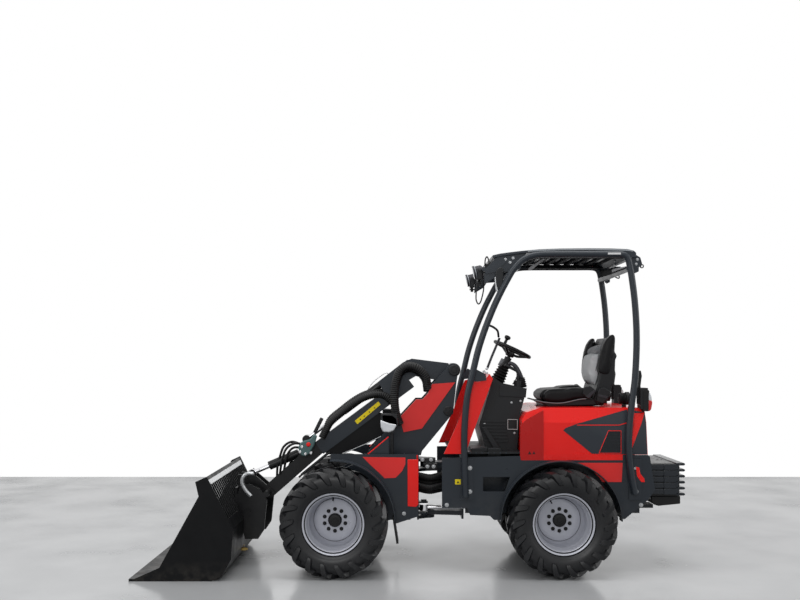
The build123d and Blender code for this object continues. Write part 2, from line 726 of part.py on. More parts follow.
# Operator's floor, console, cowl, column, steering wheel and lever.
deck_top = RAIL_TOP_Z + SIDE_THICKNESS
floor_back = photo_x(HOOD_SIDE_PX[0][0], SIDE_READ_Y)
floor_half = BODY_HALF - SIDE_THICKNESS
floor = block(floor_back, FLOOR_FRONT_X, -floor_half, floor_half, FLOOR_Z, FLOOR_Z + FLOOR_THICKNESS)
riser = block(floor_back, BULKHEAD_X + BULKHEAD_THICKNESS, RAIL_Y, RAIL_Y + RAIL_THICKNESS, deck_top, FLOOR_Z)
nodes["floor_plate"] = fused([floor, both(riser)])

console_points = outline(CONSOLE_PX, CONSOLE_READ_Y)
console_bottom = min(z for x, z in console_points)
console_points = [(x, FLOOR_Z + FLOOR_THICKNESS if z == console_bottom else z) for x, z in console_points]
console_centre_x = sum(x for x, z in console_points) / len(console_points)
console_front = max(x for x, z in console_points)
console_back = min(x for x, z in console_points)
console_top = max(z for x, z in console_points)
console_floor = FLOOR_Z + FLOOR_THICKNESS
shrink_x = 1 - 2 * CONSOLE_WALL / (console_front - console_back)
shrink_z = 1 - 2 * CONSOLE_WALL / (console_top - console_floor)
hollow_points = [
    (console_centre_x + (x - console_centre_x) * shrink_x, console_floor + (z - console_floor) * shrink_z)
    for x, z in console_points
]
hollow_half = CONSOLE_HALF - CONSOLE_WALL
console_body = plate(console_points, -CONSOLE_HALF, CONSOLE_HALF + CONSOLE_HALF)
nodes["dash_console"] = cut(console_body, plate(hollow_points, -hollow_half, hollow_half + hollow_half))

cowl_side = plate(outline(COWL_PX, SIDE_READ_Y), BODY_HALF - COWL_SHEET, COWL_SHEET)
cowl_bridge = plate(
    outline(COWL_BRIDGE_PX, SIDE_READ_Y), -BODY_HALF + COWL_SHEET,
    BODY_HALF + BODY_HALF - COWL_SHEET - COWL_SHEET,
)
nodes["dash_cowl"] = fused([both(cowl_side), cowl_bridge])

column_foot = Vector(photo_x(COLUMN_FOOT_PX[0], 0), 0, photo_z(COLUMN_FOOT_PX[1], 0))
column_top = Vector(photo_x(COLUMN_TOP_PX[0], 0), 0, photo_z(COLUMN_TOP_PX[1], 0))
column_dir = (column_top - column_foot).normalized()
column_root = column_foot - column_dir * (COLUMN_RADIUS + COLUMN_RADIUS)
column = Solid.make_cylinder(
    COLUMN_RADIUS, (column_top - column_root).length, Plane(origin=column_root, z_dir=column_dir),
)
spindle_radius = COLUMN_RADIUS / 2
spindle = Solid.make_cylinder(spindle_radius, WHEEL_HUB_LENGTH, Plane(origin=column_top, z_dir=column_dir))
nodes["steering_column"] = cut(fused([column, spindle]), console_body)

hub_start = column_top + column_dir * RUN_CLEARANCE
hub_plane = Plane(origin=hub_start, z_dir=column_dir)
hub = Solid.make_cylinder(WHEEL_HUB_RADIUS, WHEEL_HUB_LENGTH, hub_plane)
rim_centre = hub_start + column_dir * (WHEEL_HUB_LENGTH / 2 + WHEEL_DISH)
ring = Solid.make_torus(WHEEL_RIM_RADIUS, WHEEL_GRIP_RADIUS, Plane(origin=rim_centre, z_dir=column_dir))
rim_plane = Plane(origin=rim_centre, z_dir=column_dir)
spoke_root = hub_start + column_dir * (WHEEL_HUB_LENGTH / 2)
spokes = []
for index in range(WHEEL_SPOKES):
    turn = 2 * math.pi * (index + WHEEL_SPOKE_START_SHARE) / WHEEL_SPOKES
    tip = rim_centre + rim_plane.x_dir * (math.cos(turn) * WHEEL_RIM_RADIUS) + rim_plane.y_dir * (
        math.sin(turn) * WHEEL_RIM_RADIUS
    )
    spokes.append(bar(tuple(spoke_root), tuple(tip), WHEEL_SPOKE_RADIUS))
knob_dir = Vector(1, 0, 0) - column_dir * column_dir.X
knob_dir = knob_dir.normalized()
knob_foot = rim_centre + knob_dir * WHEEL_RIM_RADIUS
knob = Solid.make_cylinder(KNOB_RADIUS / 2, KNOB_HEIGHT, Plane(origin=knob_foot, z_dir=column_dir))
knob_head = Solid.make_cylinder(
    KNOB_RADIUS, KNOB_RADIUS, Plane(origin=knob_foot + column_dir * KNOB_HEIGHT, z_dir=column_dir),
)
wheel_solid = fused([hub, ring, knob, knob_head] + spokes)
wheel_solid = cut(
    wheel_solid,
    Solid.make_cylinder(
        spindle_radius + RUN_CLEARANCE, WHEEL_HUB_LENGTH, Plane(origin=column_top, z_dir=column_dir),
    )
)
nodes["steering_wheel"] = wheel_solid

lever_foot_x = photo_x(JOYSTICK_FOOT_PX[0], STICK_READ_Y)
console_top_z = photo_z(JOYSTICK_FOOT_PX[1], CONSOLE_READ_Y)
boot = post(
    lever_foot_x, JOYSTICK_Y, console_top_z - JOYSTICK_BOOT_HEIGHT / 2, console_top_z + JOYSTICK_BOOT_HEIGHT,
    JOYSTICK_BOOT_RADIUS,
)
lever_points = [
    (lever_foot_x, JOYSTICK_Y, console_top_z + JOYSTICK_BOOT_HEIGHT / 2),
    (lever_foot_x, JOYSTICK_Y, console_top_z + JOYSTICK_RISE),
    (
        photo_x(JOYSTICK_TIP_PX, STICK_READ_Y), JOYSTICK_Y,
        console_top_z + JOYSTICK_RISE + JOYSTICK_BOOT_HEIGHT,
    ),
]
lever = bent_tube(lever_points, JOYSTICK_RADIUS, JOYSTICK_BOOT_RADIUS)
nodes["joystick"] = cut(fused([boot, lever]), console_body)

# Seat on the hood.
hood_top = photo_z(HOOD_SIDE_PX[2][1], SIDE_READ_Y)
seat_front = photo_x(SEAT_BASE_PX[0], SEAT_READ_Y)
seat_back_x = photo_x(SEAT_BASE_PX[1], SEAT_READ_Y)
cushion_points = outline(CUSHION_PX, SEAT_READ_Y)
cushion_low = min(z for x, z in cushion_points)
nodes["seat_base"] = block(seat_back_x, seat_front, -SEAT_BASE_HALF, SEAT_BASE_HALF, hood_top, cushion_low)
nodes["seat_cushion"] = plate(cushion_points, -SEAT_HALF, SEAT_HALF + SEAT_HALF)
seat_back = plate(outline(BACK_PX, BACK_READ_Y), -BACK_HALF, BACK_HALF + BACK_HALF)
nodes["seat_back"] = cut(seat_back, nodes["seat_cushion"], nodes["seat_base"])

# Roll-over frame.
hoop_y = BODY_HALF + HOOP_RADIUS + HOOP_GAP
hoop_points = [(x, hoop_y, z) for x, z in outline(HOOP_PX, HOOP_READ_Y)]
hoop = bent_tube(hoop_points, HOOP_RADIUS, HOOP_BEND)
feet = []
for x, y, z in [hoop_points[0], hoop_points[-1]]:
    feet.append(block(
        x - HOOP_FOOT_LENGTH / 2, x + HOOP_FOOT_LENGTH / 2, BODY_HALF, BODY_HALF + HOOP_FOOT_THICKNESS,
        z - HOOP_RADIUS, z + HOOP_FOOT_HEIGHT,
    ))
hoop_side = fused([hoop] + feet)
cross_tubes = []
for x, z in outline(HOOP_CROSS_PX, HOOP_READ_Y):
    cross_tubes.append(pin(x, z, -hoop_y, hoop_y, HOOP_CROSS_RADIUS))
nodes["rollover_frame"] = fused([both(hoop_side)] + cross_tubes)

canopy_points = outline(CANOPY_PX, SIDE_READ_Y)
canopy = plate(canopy_points, -BODY_HALF, BODY_HALF + BODY_HALF)
inner_canopy = [(x, z - CANOPY_SHEET) for x, z in canopy_points]
canopy_low = min(z for x, z in canopy_points)
inner_half = BODY_HALF - CANOPY_SHEET
hollow = plate(inner_canopy, -inner_half, inner_half + inner_half)
nodes["canopy"] = cut(canopy, hollow, nodes["rollover_frame"])

# Work lamps on a bar ahead of the canopy.
bracket = plate(outline(BRACKET_PX, SIDE_READ_Y), BODY_HALF, BRACKET_THICKNESS)
bar_x = photo_x(LAMP_BAR_PX[0], SIDE_READ_Y)
bar_z = photo_z(LAMP_BAR_PX[1], SIDE_READ_Y)
lamp_bar = pin(bar_x, bar_z, -BODY_HALF, BODY_HALF, LAMP_BAR_RADIUS)
nodes["lamp_bar"] = cut(fused([both(bracket), lamp_bar]), nodes["rollover_frame"], nodes["canopy"])
lamp_x = bar_x + LAMP_BAR_RADIUS
lamp = Solid.make_cylinder(
    WORK_LAMP_RADIUS, WORK_LAMP_DEPTH, Plane(
        origin=(lamp_x, BODY_HALF - WORK_LAMP_INSET, bar_z), z_dir=(1, 0, 0),
    )
)
nodes["work_lamp_left"] = cut(lamp, nodes["lamp_bar"])
nodes["work_lamp_right"] = mirror(nodes["work_lamp_left"], about=Plane.XZ)

# Rear end: weights, tail lamps, drawbar.
weight_points = outline(WEIGHT_PX, WEIGHT_READ_Y)
weight_front = weight_points[0][0]
weight_back = weight_points[2][0]
weight_low = weight_points[2][1]
weight_high = weight_points[0][1]
pitch = (weight_high - weight_low) / WEIGHT_PLATES
slabs = []
for index in range(WEIGHT_PLATES):
    slab_top = weight_high - index * pitch
    slabs.append(block(
        weight_back, weight_front, -WEIGHT_HALF, WEIGHT_HALF, slab_top - pitch * (1 - WEIGHT_GAP_SHARE),
        slab_top,
    ))
core_half = WEIGHT_HALF - WEIGHT_CORE_INSET
slabs.append(
    block(weight_back + WEIGHT_CORE_INSET, REAR_PLATE_X, -core_half, core_half, weight_low, weight_high)
)
slabs.append(
    plate(outline(WEIGHT_BLOCK_PX, WEIGHT_READ_Y), -WEIGHT_BLOCK_HALF, WEIGHT_BLOCK_HALF + WEIGHT_BLOCK_HALF)
)
nodes["rear_weight"] = fused(slabs)

lamp_points = outline(TAIL_LAMP_PX, TAIL_READ_Y)
tail_y = BODY_HALF - TAIL_LAMP_INSET
tail_lamp = plate(lamp_points, tail_y, TAIL_LAMP_WIDTH)
stem_x = (lamp_points[0][0] + lamp_points[1][0]) / 2
stem_y = tail_y + TAIL_LAMP_WIDTH / 2
stem_foot = hood_top - TAIL_LAMP_WIDTH
stem = post(stem_x, stem_y, stem_foot, lamp_points[2][1] + TAIL_STEM_RADIUS, TAIL_STEM_RADIUS)
nodes["tail_lamp_left"] = cut(fused([tail_lamp, stem]), hood_solid)
nodes["tail_lamp_right"] = mirror(nodes["tail_lamp_left"], about=Plane.XZ)

drawbar_front = REAR_PLATE_X
drawbar = block(
    drawbar_front - DRAWBAR_LENGTH, drawbar_front, -DRAWBAR_HALF, DRAWBAR_HALF, DRAWBAR_Z,
    DRAWBAR_Z + DRAWBAR_HEIGHT,
)
hitch_x = drawbar_front - DRAWBAR_LENGTH + DRAWBAR_HALF
drawbar = cut(drawbar, post(hitch_x, 0, DRAWBAR_Z, DRAWBAR_Z + DRAWBAR_HEIGHT, HITCH_BORE_RADIUS))
hanger = block(
    drawbar_front - REAR_PLATE_THICKNESS, drawbar_front, -DRAWBAR_HALF, DRAWBAR_HALF, DRAWBAR_Z, weight_low,
)
nodes["drawbar"] = cut(fused([drawbar, hanger]), nodes["rear_weight"])

# Front frame: tower plates, chassis box, forks with their pins, wings.
tower = plate(outline(TOWER_PX, BOOM_READ_Y), TOWER_Y, TOWER_THICKNESS)
chassis_points = outline(CHASSIS_PX, BOOM_READ_Y)
chassis_side = plate(chassis_points, TOWER_Y, TOWER_THICKNESS)
rear_x = chassis_points[0][0]
front_x = chassis_points[4][0]
low_z = chassis_points[5][1]
high_z = chassis_points[0][1]
rear_wall = block(rear_x, rear_x + CHASSIS_PLATE, -TOWER_Y, TOWER_Y, LOWER_FORK_Z, high_z)
front_wall = block(front_x - CHASSIS_PLATE, front_x, -TOWER_Y, TOWER_Y, low_z, chassis_points[4][1])
floor_wall = block(
    rear_x + CUT_OVERRUN + CUT_OVERRUN, front_x, -TOWER_Y, TOWER_Y, low_z, low_z + CHASSIS_PLATE,
)
wing = block(
    WING_X, WING_X + WING_THICKNESS, TOWER_Y + TOWER_THICKNESS, FRONT_SIDE_Y, WING_BOTTOM_Z, WING_TOP_Z,
)
forks = []
for bottom, height in FORKS:
    forks.append(lug(rear_x, bottom, bottom + FORK_THICKNESS, 0))
    forks.append(lug(rear_x, bottom + height - FORK_THICKNESS, bottom + height, 0))
    forks.append(post(STEER_X, 0, bottom, bottom + height, PIN_RADIUS))
steer_gap = max(EYE_HALF, STEER_BARREL_RADIUS) + CLEVIS_GAP
eye_x = STEER_X + STEER_EYE_AHEAD
steer_ears = []
for sign in (1, -1):
    near = STEER_CYLINDER_Z + sign * steer_gap
    far = near + sign * CLEVIS_THICKNESS
    low, high = min(near, far), max(near, far)
    steer_ears.append(block(eye_x, WING_X, STEER_EYE_Y - EYE_RADIUS, STEER_EYE_Y + EYE_RADIUS, low, high))
    steer_ears.append(post(eye_x, STEER_EYE_Y, low, high, EYE_RADIUS))
    cap_low, cap_high = min(far, far + sign * CAP_LENGTH), max(far, far + sign * CAP_LENGTH)
    steer_ears.append(post(eye_x, STEER_EYE_Y, cap_low, cap_high, CAP_RADIUS))
ear_low = STEER_CYLINDER_Z - steer_gap - CLEVIS_THICKNESS
ear_high = STEER_CYLINDER_Z + steer_gap + CLEVIS_THICKNESS
steer_ears.append(block(
    WING_X - COLUMN_COVER_WIDTH, WING_X + WING_THICKNESS, TOWER_Y + TOWER_THICKNESS, STEER_EYE_Y + EYE_RADIUS,
    ear_low, ear_high,
))
boom_pin = pin(BOOM_X, BOOM_Z, -TOWER_Y, TOWER_Y, PIN_RADIUS)
lift_x = photo_x(LIFT_BASE_PX[0], BOOM_READ_Y)
lift_z = photo_z(LIFT_BASE_PX[1], BOOM_READ_Y)
lift_pin = pin(lift_x, lift_z, -TOWER_Y, TOWER_Y, CAP_RADIUS / 2)
walls = [both(tower), both(chassis_side), rear_wall, front_wall, floor_wall, both(wing)]
front_frame = fused(walls + [boom_pin, lift_pin] + forks + steer_ears)
nodes["front_frame"] = cut(
    front_frame, pin(FRONT_AXLE_X, TYRE_RADIUS, -BODY_HALF, BODY_HALF, AXLE_CASE_RADIUS),
)
nodes["front_axle"] = axle(FRONT_AXLE_X, TOWER_Y + TOWER_THICKNESS)

front_side = plate(outline(FRONT_SIDE_PX, SIDE_READ_Y), FRONT_SIDE_Y, FRONT_SIDE_THICKNESS)
front_side = cut(front_side, arch_hole(FRONT_AXLE_X, FRONT_SIDE_Y, FRONT_SIDE_Y + FRONT_SIDE_THICKNESS))
front_outer = FRONT_SIDE_Y + FRONT_SIDE_THICKNESS
front_lip = arch_sheet(FRONT_AXLE_X, front_outer, front_outer + FRONT_LIP_REACH, TYRE_RADIUS)
lip_front = block(
    photo_x(FRONT_SIDE_PX[2][0], SIDE_READ_Y), FRONT_AXLE_X + ARCH_RADIUS + CUT_OVERRUN, front_outer,
    front_outer + FRONT_LIP_REACH,
    TYRE_RADIUS, TYRE_RADIUS + ARCH_RADIUS + CUT_OVERRUN,
)
front_lip = cut(front_lip, lip_front)
nodes["front_side_left"] = fused([front_side, front_lip])
nodes["front_side_right"] = mirror(nodes["front_side_left"], about=Plane.XZ)

cover = block(
    WING_X - COLUMN_COVER_LENGTH, WING_X, COLUMN_COVER_Y, COLUMN_COVER_Y + COLUMN_COVER_WIDTH, WING_BOTTOM_Z,
    WING_TOP_Z,
)
nodes["column_cover_left"] = cover
nodes["column_cover_right"] = mirror(cover, about=Plane.XZ)

panel_y = TOWER_Y + TOWER_THICKNESS
tower_panel = plate(outline(TOWER_PANEL_PX, BOOM_READ_Y), panel_y, TOWER_PANEL_THICKNESS)
nodes["tower_panel_left"] = tower_panel
nodes["tower_panel_right"] = mirror(tower_panel, about=Plane.XZ)

headlamp_points = outline(HEADLAMP_PX, LAMP_READ_Y)
headlamp = plate(headlamp_points, HEADLAMP_Y - HEADLAMP_WIDTH / 2, HEADLAMP_WIDTH)
stem_x = photo_x(HEADLAMP_STEM_PX, LAMP_READ_Y)
stem_foot = WING_TOP_Z - FORK_THICKNESS
lamp_stem = post(
    stem_x, HEADLAMP_Y, stem_foot, headlamp_points[3][1] + HEADLAMP_STEM_RADIUS, HEADLAMP_STEM_RADIUS,
)
arm_z = stem_foot + HEADLAMP_STEM_RADIUS + HEADLAMP_STEM_RADIUS
lamp_arm = pin(stem_x, arm_z, TOWER_Y, HEADLAMP_Y, HEADLAMP_ARM_RADIUS)
nodes["headlamp_left"] = cut(fused([headlamp, lamp_stem, lamp_arm]), nodes["front_frame"])
nodes["headlamp_right"] = mirror(nodes["headlamp_left"], about=Plane.XZ)

# Boom: arm and outer beam, inner beam and its head.
boom_arm = plate(outline(BOOM_ARM_PX, BOOM_READ_Y), -BEAM_HALF, BEAM_HALF + BEAM_HALF)
hub_half = TOWER_Y - BOOM_SIDE_GAP
boom_hub = pin(BOOM_X, BOOM_Z, -hub_half, hub_half, BOOM_HUB_RADIUS)
beam_low = BEAM_RISE - BEAM_DEPTH / 2
beam_high = BEAM_RISE + BEAM_DEPTH / 2
outer_beam = boom_box(BEAM_START, BEAM_END, beam_low, beam_high, BEAM_HALF)
cavity_low = beam_low + BEAM_WALL
cavity_high = beam_high - BEAM_WALL
cavity_half = BEAM_HALF - BEAM_WALL
cavity = boom_box(BEAM_START + BEAM_WALL, BEAM_END, cavity_low, cavity_high, cavity_half)


def boom_clevis(along, rise, root_rise, overhang, barrel_radius):
    """Two plates with caps beside an eye, from a beam face at root_rise."""
    half = max(EYE_HALF, barrel_radius) + CLEVIS_GAP
    corners = [
        (along - overhang, root_rise), (along - EYE_RADIUS, rise), (along + EYE_RADIUS, rise),
        (along + overhang, root_rise),
    ]
    side = boom_plate(corners, half, CLEVIS_THICKNESS)
    x, z = boom_place(along, rise)
    round_end = pin(x, z, half, half + CLEVIS_THICKNESS, EYE_RADIUS)
    cap = pin(x, z, half + CLEVIS_THICKNESS, half + CLEVIS_THICKNESS + CAP_LENGTH, CAP_RADIUS)
    return both(fused([side, round_end, cap]))


telescope_base = boom_place(TELESCOPE_BASE_ALONG, TELESCOPE_RISE)
telescope_eye = boom_place(TELESCOPE_EYE_ALONG, TELESCOPE_RISE)
lift_eye = boom_place(LIFT_EYE_ALONG, LIFT_EYE_RISE)
lift_clevis = boom_clevis(LIFT_EYE_ALONG, LIFT_EYE_RISE, beam_low, LUG_RADIUS + EYE_RADIUS, 0)
telescope_clevis = boom_clevis(
    TELESCOPE_BASE_ALONG, TELESCOPE_RISE, beam_high, LUG_RADIUS, TELESCOPE_BARREL_RADIUS,
)
telescope_room = pin(
    telescope_base[0], telescope_base[1], -EYE_HALF - RUN_CLEARANCE, EYE_HALF + RUN_CLEARANCE,
    EYE_RADIUS + CLEVIS_GAP,
)
room_top = boom_box(
    TELESCOPE_BASE_ALONG, BEAM_END, TELESCOPE_RISE - TELESCOPE_BARREL_RADIUS - CLEVIS_GAP,
    TELESCOPE_RISE + LUG_RADIUS, TELESCOPE_BARREL_RADIUS + CLEVIS_GAP,
)
pivot_bore = pin(BOOM_X, BOOM_Z, -TOWER_Y, TOWER_Y, PIN_RADIUS + RUN_CLEARANCE)
boom_outer = fused([boom_arm, boom_hub, outer_beam] + lift_clevis + telescope_clevis)
telescope_reach = TELESCOPE_BARREL_RADIUS + CLEVIS_GAP
telescope_pin = pin(telescope_base[0], telescope_base[1], -telescope_reach, telescope_reach, CAP_RADIUS / 2)
boom_outer = cut(boom_outer, cavity, pivot_bore, telescope_room, room_top)
nodes["boom_outer"] = fused([boom_outer, telescope_pin])

slide_low = cavity_low + RUN_CLEARANCE
slide_high = cavity_high - RUN_CLEARANCE
slide_half = cavity_half - RUN_CLEARANCE
inner_beam = boom_box(INNER_START, HEAD_START + HEAD_END_RADIUS, slide_low, slide_high, slide_half)
inner_hollow = boom_box(
    INNER_START, HEAD_START, slide_low + INNER_WALL, slide_high - INNER_WALL, slide_half - INNER_WALL,
)
head_points = [
    (HEAD_START, slide_low), (HEAD_START, slide_high), (TILT_BASE_ALONG + EYE_RADIUS, slide_high),
    (COUPLER_PIN_ALONG, COUPLER_PIN_RISE + HEAD_END_RADIUS),
    (COUPLER_PIN_ALONG, COUPLER_PIN_RISE - HEAD_END_RADIUS),
]
head_plate = boom_plate(head_points, HEAD_HALF - HEAD_PLATE, HEAD_PLATE)
coupler_x, coupler_z = boom_place(COUPLER_PIN_ALONG, COUPLER_PIN_RISE)
head_end = pin(coupler_x, coupler_z, -HEAD_HALF, HEAD_HALF, HEAD_END_RADIUS)
tilt_clevis = boom_clevis(
    TILT_BASE_ALONG, TILT_BASE_RISE, slide_high, EYE_RADIUS + EYE_HALF, TILT_BARREL_RADIUS,
)
tilt_base = boom_place(TILT_BASE_ALONG, TILT_BASE_RISE)
tilt_reach = TILT_BARREL_RADIUS + CLEVIS_GAP
tilt_pin = pin(tilt_base[0], tilt_base[1], -tilt_reach, tilt_reach, CAP_RADIUS / 2)
telescope_mast = boom_clevis(TELESCOPE_EYE_ALONG, TELESCOPE_RISE, slide_high, EYE_RADIUS, 0)
inner_solid = fused([inner_beam, both(head_plate), head_end, tilt_pin] + tilt_clevis + telescope_mast)
coupler_bore = pin(coupler_x, coupler_z, -HEAD_HALF, HEAD_HALF, PIN_RADIUS + RUN_CLEARANCE)
nodes["boom_inner"] = cut(inner_solid, inner_hollow, coupler_bore)

side_axis = (0, 1, 0)
lift_barrel, lift_rod = cylinder_pair(
    (lift_x, 0, lift_z), (lift_eye[0], 0, lift_eye[1]), LIFT_BARREL_RADIUS, LIFT_ROD_RADIUS,
    LIFT_BARREL_LENGTH, side_axis, 0,
)
nodes["lift_barrel"] = lift_barrel
nodes["lift_rod"] = lift_rod
telescope_barrel, telescope_rod = cylinder_pair(
    (telescope_base[0], 0, telescope_base[1]), (telescope_eye[0], 0, telescope_eye[1]),
    TELESCOPE_BARREL_RADIUS, TELESCOPE_ROD_RADIUS, TELESCOPE_BARREL_LENGTH, side_axis, 0,
)
nodes["telescope_barrel"] = telescope_barrel
nodes["telescope_rod"] = telescope_rod
tilt_eye = (coupler_x + TILT_EYE_AHEAD, coupler_z + TILT_EYE_ABOVE)
tilt_barrel, tilt_rod = cylinder_pair(
    (tilt_base[0], 0, tilt_base[1]), (tilt_eye[0], 0, tilt_eye[1]),
    TILT_BARREL_RADIUS, TILT_ROD_RADIUS, TILT_BARREL_LENGTH, side_axis, TILT_RETRACT,
)
nodes["tilt_barrel"] = tilt_barrel
nodes["tilt_rod"] = tilt_rod
steer_base = (STEER_BASE_X, STEER_BASE_Y, STEER_CYLINDER_Z)
steer_eye = (STEER_X + STEER_EYE_AHEAD, STEER_EYE_Y, STEER_CYLINDER_Z)
steer_barrel, steer_rod = cylinder_pair(
    steer_base, steer_eye, STEER_BARREL_RADIUS, STEER_ROD_RADIUS, STEER_BARREL_LENGTH, (0, 0, 1),
    STEER_RETRACT,
)
nodes["steer_barrel"] = steer_barrel
nodes["steer_rod"] = steer_rod

# Coupler with its pin, and the bucket hooked on it.
coupler_plate = plate(outline(COUPLER_PX, BOOM_READ_Y), COUPLER_HALF - COUPLER_PLATE, COUPLER_PLATE)
coupler_points = outline(COUPLER_PX, BOOM_READ_Y)
coupler_front = max(x for x, z in coupler_points)
coupler_pin = pin(coupler_x, coupler_z, -COUPLER_HALF, COUPLER_HALF, PIN_RADIUS)
ear_half = HEAD_HALF + CLEVIS_GAP
ear = plate(
    [
        (coupler_x - HEAD_END_RADIUS, coupler_z), (coupler_x, coupler_z - HEAD_END_RADIUS),
        (coupler_front, coupler_z - HEAD_END_RADIUS), (coupler_front, coupler_z + TILT_EYE_ABOVE),
        (tilt_eye[0] + EYE_RADIUS, tilt_eye[1]), (tilt_eye[0], tilt_eye[1] + EYE_RADIUS),
        (tilt_eye[0] - EYE_RADIUS, tilt_eye[1]),
    ],
    ear_half, CLEVIS_THICKNESS,
)
cross_beam = block(
    coupler_front - COUPLER_PLATE, coupler_front, -COUPLER_HALF, COUPLER_HALF, coupler_z - TILT_EYE_AHEAD,
    coupler_z + HEAD_END_RADIUS,
)
coupler = fused([both(coupler_plate), coupler_pin, both(ear), cross_beam])
nodes["coupler"] = coupler

bucket_points = outline(BUCKET_SIDE_PX, BUCKET_READ_Y)
bucket_points = [
    (x, 0 if index in (0, len(bucket_points) - 1) else z) for index, (x, z) in enumerate(bucket_points)
]
bucket_side = plate(bucket_points, BUCKET_HALF - BUCKET_SHEET, BUCKET_SHEET)
back_points = bucket_points[5:]
inside = BUCKET_HALF - BUCKET_SHEET


def strip(points, half, sheet):
    """Bent sheet that follows a run of points, with its thickness to the run's left."""
    inner = []
    count = len(points)
    for index in range(count):
        before = Vector(*points[max(index - 1, 0)])
        here = Vector(*points[index])
        after = Vector(*points[min(index + 1, count - 1)])
        first = (here - before).normalized() if index > 0 else (after - here).normalized()
        second = (after - here).normalized() if index < count - 1 else first
        normal = Vector(-first.Y - second.Y, first.X + second.X)
        normal = normal.normalized()
        lean = -first.Y * normal.X + first.X * normal.Y
        inner.append((here.X + normal.X * sheet / lean, here.Y + normal.Y * sheet / lean))
    return plate(points + inner[::-1], -half, half + half)


back_run = [
    bucket_points[0], bucket_points[9], bucket_points[8], bucket_points[7], bucket_points[6],
    bucket_points[5],
]
back_sheet = strip(back_run, BUCKET_HALF, -BUCKET_SHEET)
edge = block(
    bucket_points[0][0] - BUCKET_EDGE_LENGTH, bucket_points[0][0], -BUCKET_HALF, BUCKET_HALF, 0,
    BUCKET_EDGE_THICKNESS,
)
top_x, top_z = bucket_points[4]
low_x, low_z = bucket_points[5]
grille_dir = Vector(top_x - low_x, top_z - low_z).normalized()
lip_low = (top_x - grille_dir.X * BUCKET_LIP_LENGTH, top_z - grille_dir.Y * BUCKET_LIP_LENGTH)
lip = strip([(top_x, top_z), lip_low], BUCKET_HALF, BUCKET_SHEET)
bars = []
bar_pitch = (inside + inside) / (BUCKET_BAR_COUNT + 1)
for index in range(BUCKET_BAR_COUNT):
    bar_y = -inside + (index + 1) * bar_pitch
    offset = Vector(grille_dir.Y, -grille_dir.X) * (BUCKET_BAR_RADIUS + BUCKET_BAR_INSET)
    foot = Vector(low_x, low_z) + offset - grille_dir * BUCKET_BAR_RADIUS
    head = Vector(*lip_low) + offset + grille_dir * BUCKET_BAR_RADIUS
    bars.append(bar((foot.X, bar_y, foot.Y), (head.X, bar_y, head.Y), BUCKET_BAR_RADIUS))
bucket = fused([both(bucket_side), back_sheet, edge, lip] + bars)
nodes["bucket"] = bucket
bucket_room = plate(bucket_points, -BUCKET_HALF, BUCKET_HALF + BUCKET_HALF)
nodes["coupler"] = cut(coupler, bucket_room)

multi_start = HEAD_START - MULTI_AHEAD
multi_end = multi_start + MULTI_LENGTH
multi_top = MULTI_RISE + MULTI_HEIGHT
multi_points = [
    (multi_start, MULTI_RISE), (multi_end, MULTI_RISE), (multi_end, multi_top), (multi_start, multi_top),
]
nodes["multi_coupler"] = boom_plate(multi_points, HEAD_HALF, MULTI_WIDTH)

export_all(nodes)
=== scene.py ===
"""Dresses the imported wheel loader: finishes for the CAD nodes, detail pieces, camera, floor and light."""

import logging
import math
from dataclasses import dataclass, field
from enum import Enum
from typing import Iterable, Sequence

import bmesh
import bpy
from mathutils import Matrix, Vector

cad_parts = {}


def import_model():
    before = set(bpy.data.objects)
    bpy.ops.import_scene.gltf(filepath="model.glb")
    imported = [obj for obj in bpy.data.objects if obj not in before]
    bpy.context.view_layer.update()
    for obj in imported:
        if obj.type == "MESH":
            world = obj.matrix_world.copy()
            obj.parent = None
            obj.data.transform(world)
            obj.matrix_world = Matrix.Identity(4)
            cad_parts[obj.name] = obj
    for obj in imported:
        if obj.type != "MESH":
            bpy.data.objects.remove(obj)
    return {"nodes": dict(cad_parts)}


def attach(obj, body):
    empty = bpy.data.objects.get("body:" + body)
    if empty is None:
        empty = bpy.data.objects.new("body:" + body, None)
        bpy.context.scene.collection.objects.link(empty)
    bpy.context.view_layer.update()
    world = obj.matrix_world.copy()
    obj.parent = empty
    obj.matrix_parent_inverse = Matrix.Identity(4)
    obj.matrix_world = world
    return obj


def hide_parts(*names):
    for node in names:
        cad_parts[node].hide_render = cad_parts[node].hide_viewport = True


LOG = logging.getLogger("wheel_loader")

Point = tuple[float, float, float]
Flat = tuple[float, float]

ACROSS: Point = (0.0, 1.0, 0.0)
SINK = 0.001


class Body(str, Enum):
    """CAD bodies that pieces ride on."""

    REAR = "rear_frame"
    FRONT = "front_frame"
    BOOM = "boom"
    SLIDE = "boom_slide"
    BUCKET = "bucket"
    STEERING = "steering_wheel"
    FRONT_LEFT = "front_left_wheel"
    FRONT_RIGHT = "front_right_wheel"
    REAR_LEFT = "rear_left_wheel"
    REAR_RIGHT = "rear_right_wheel"


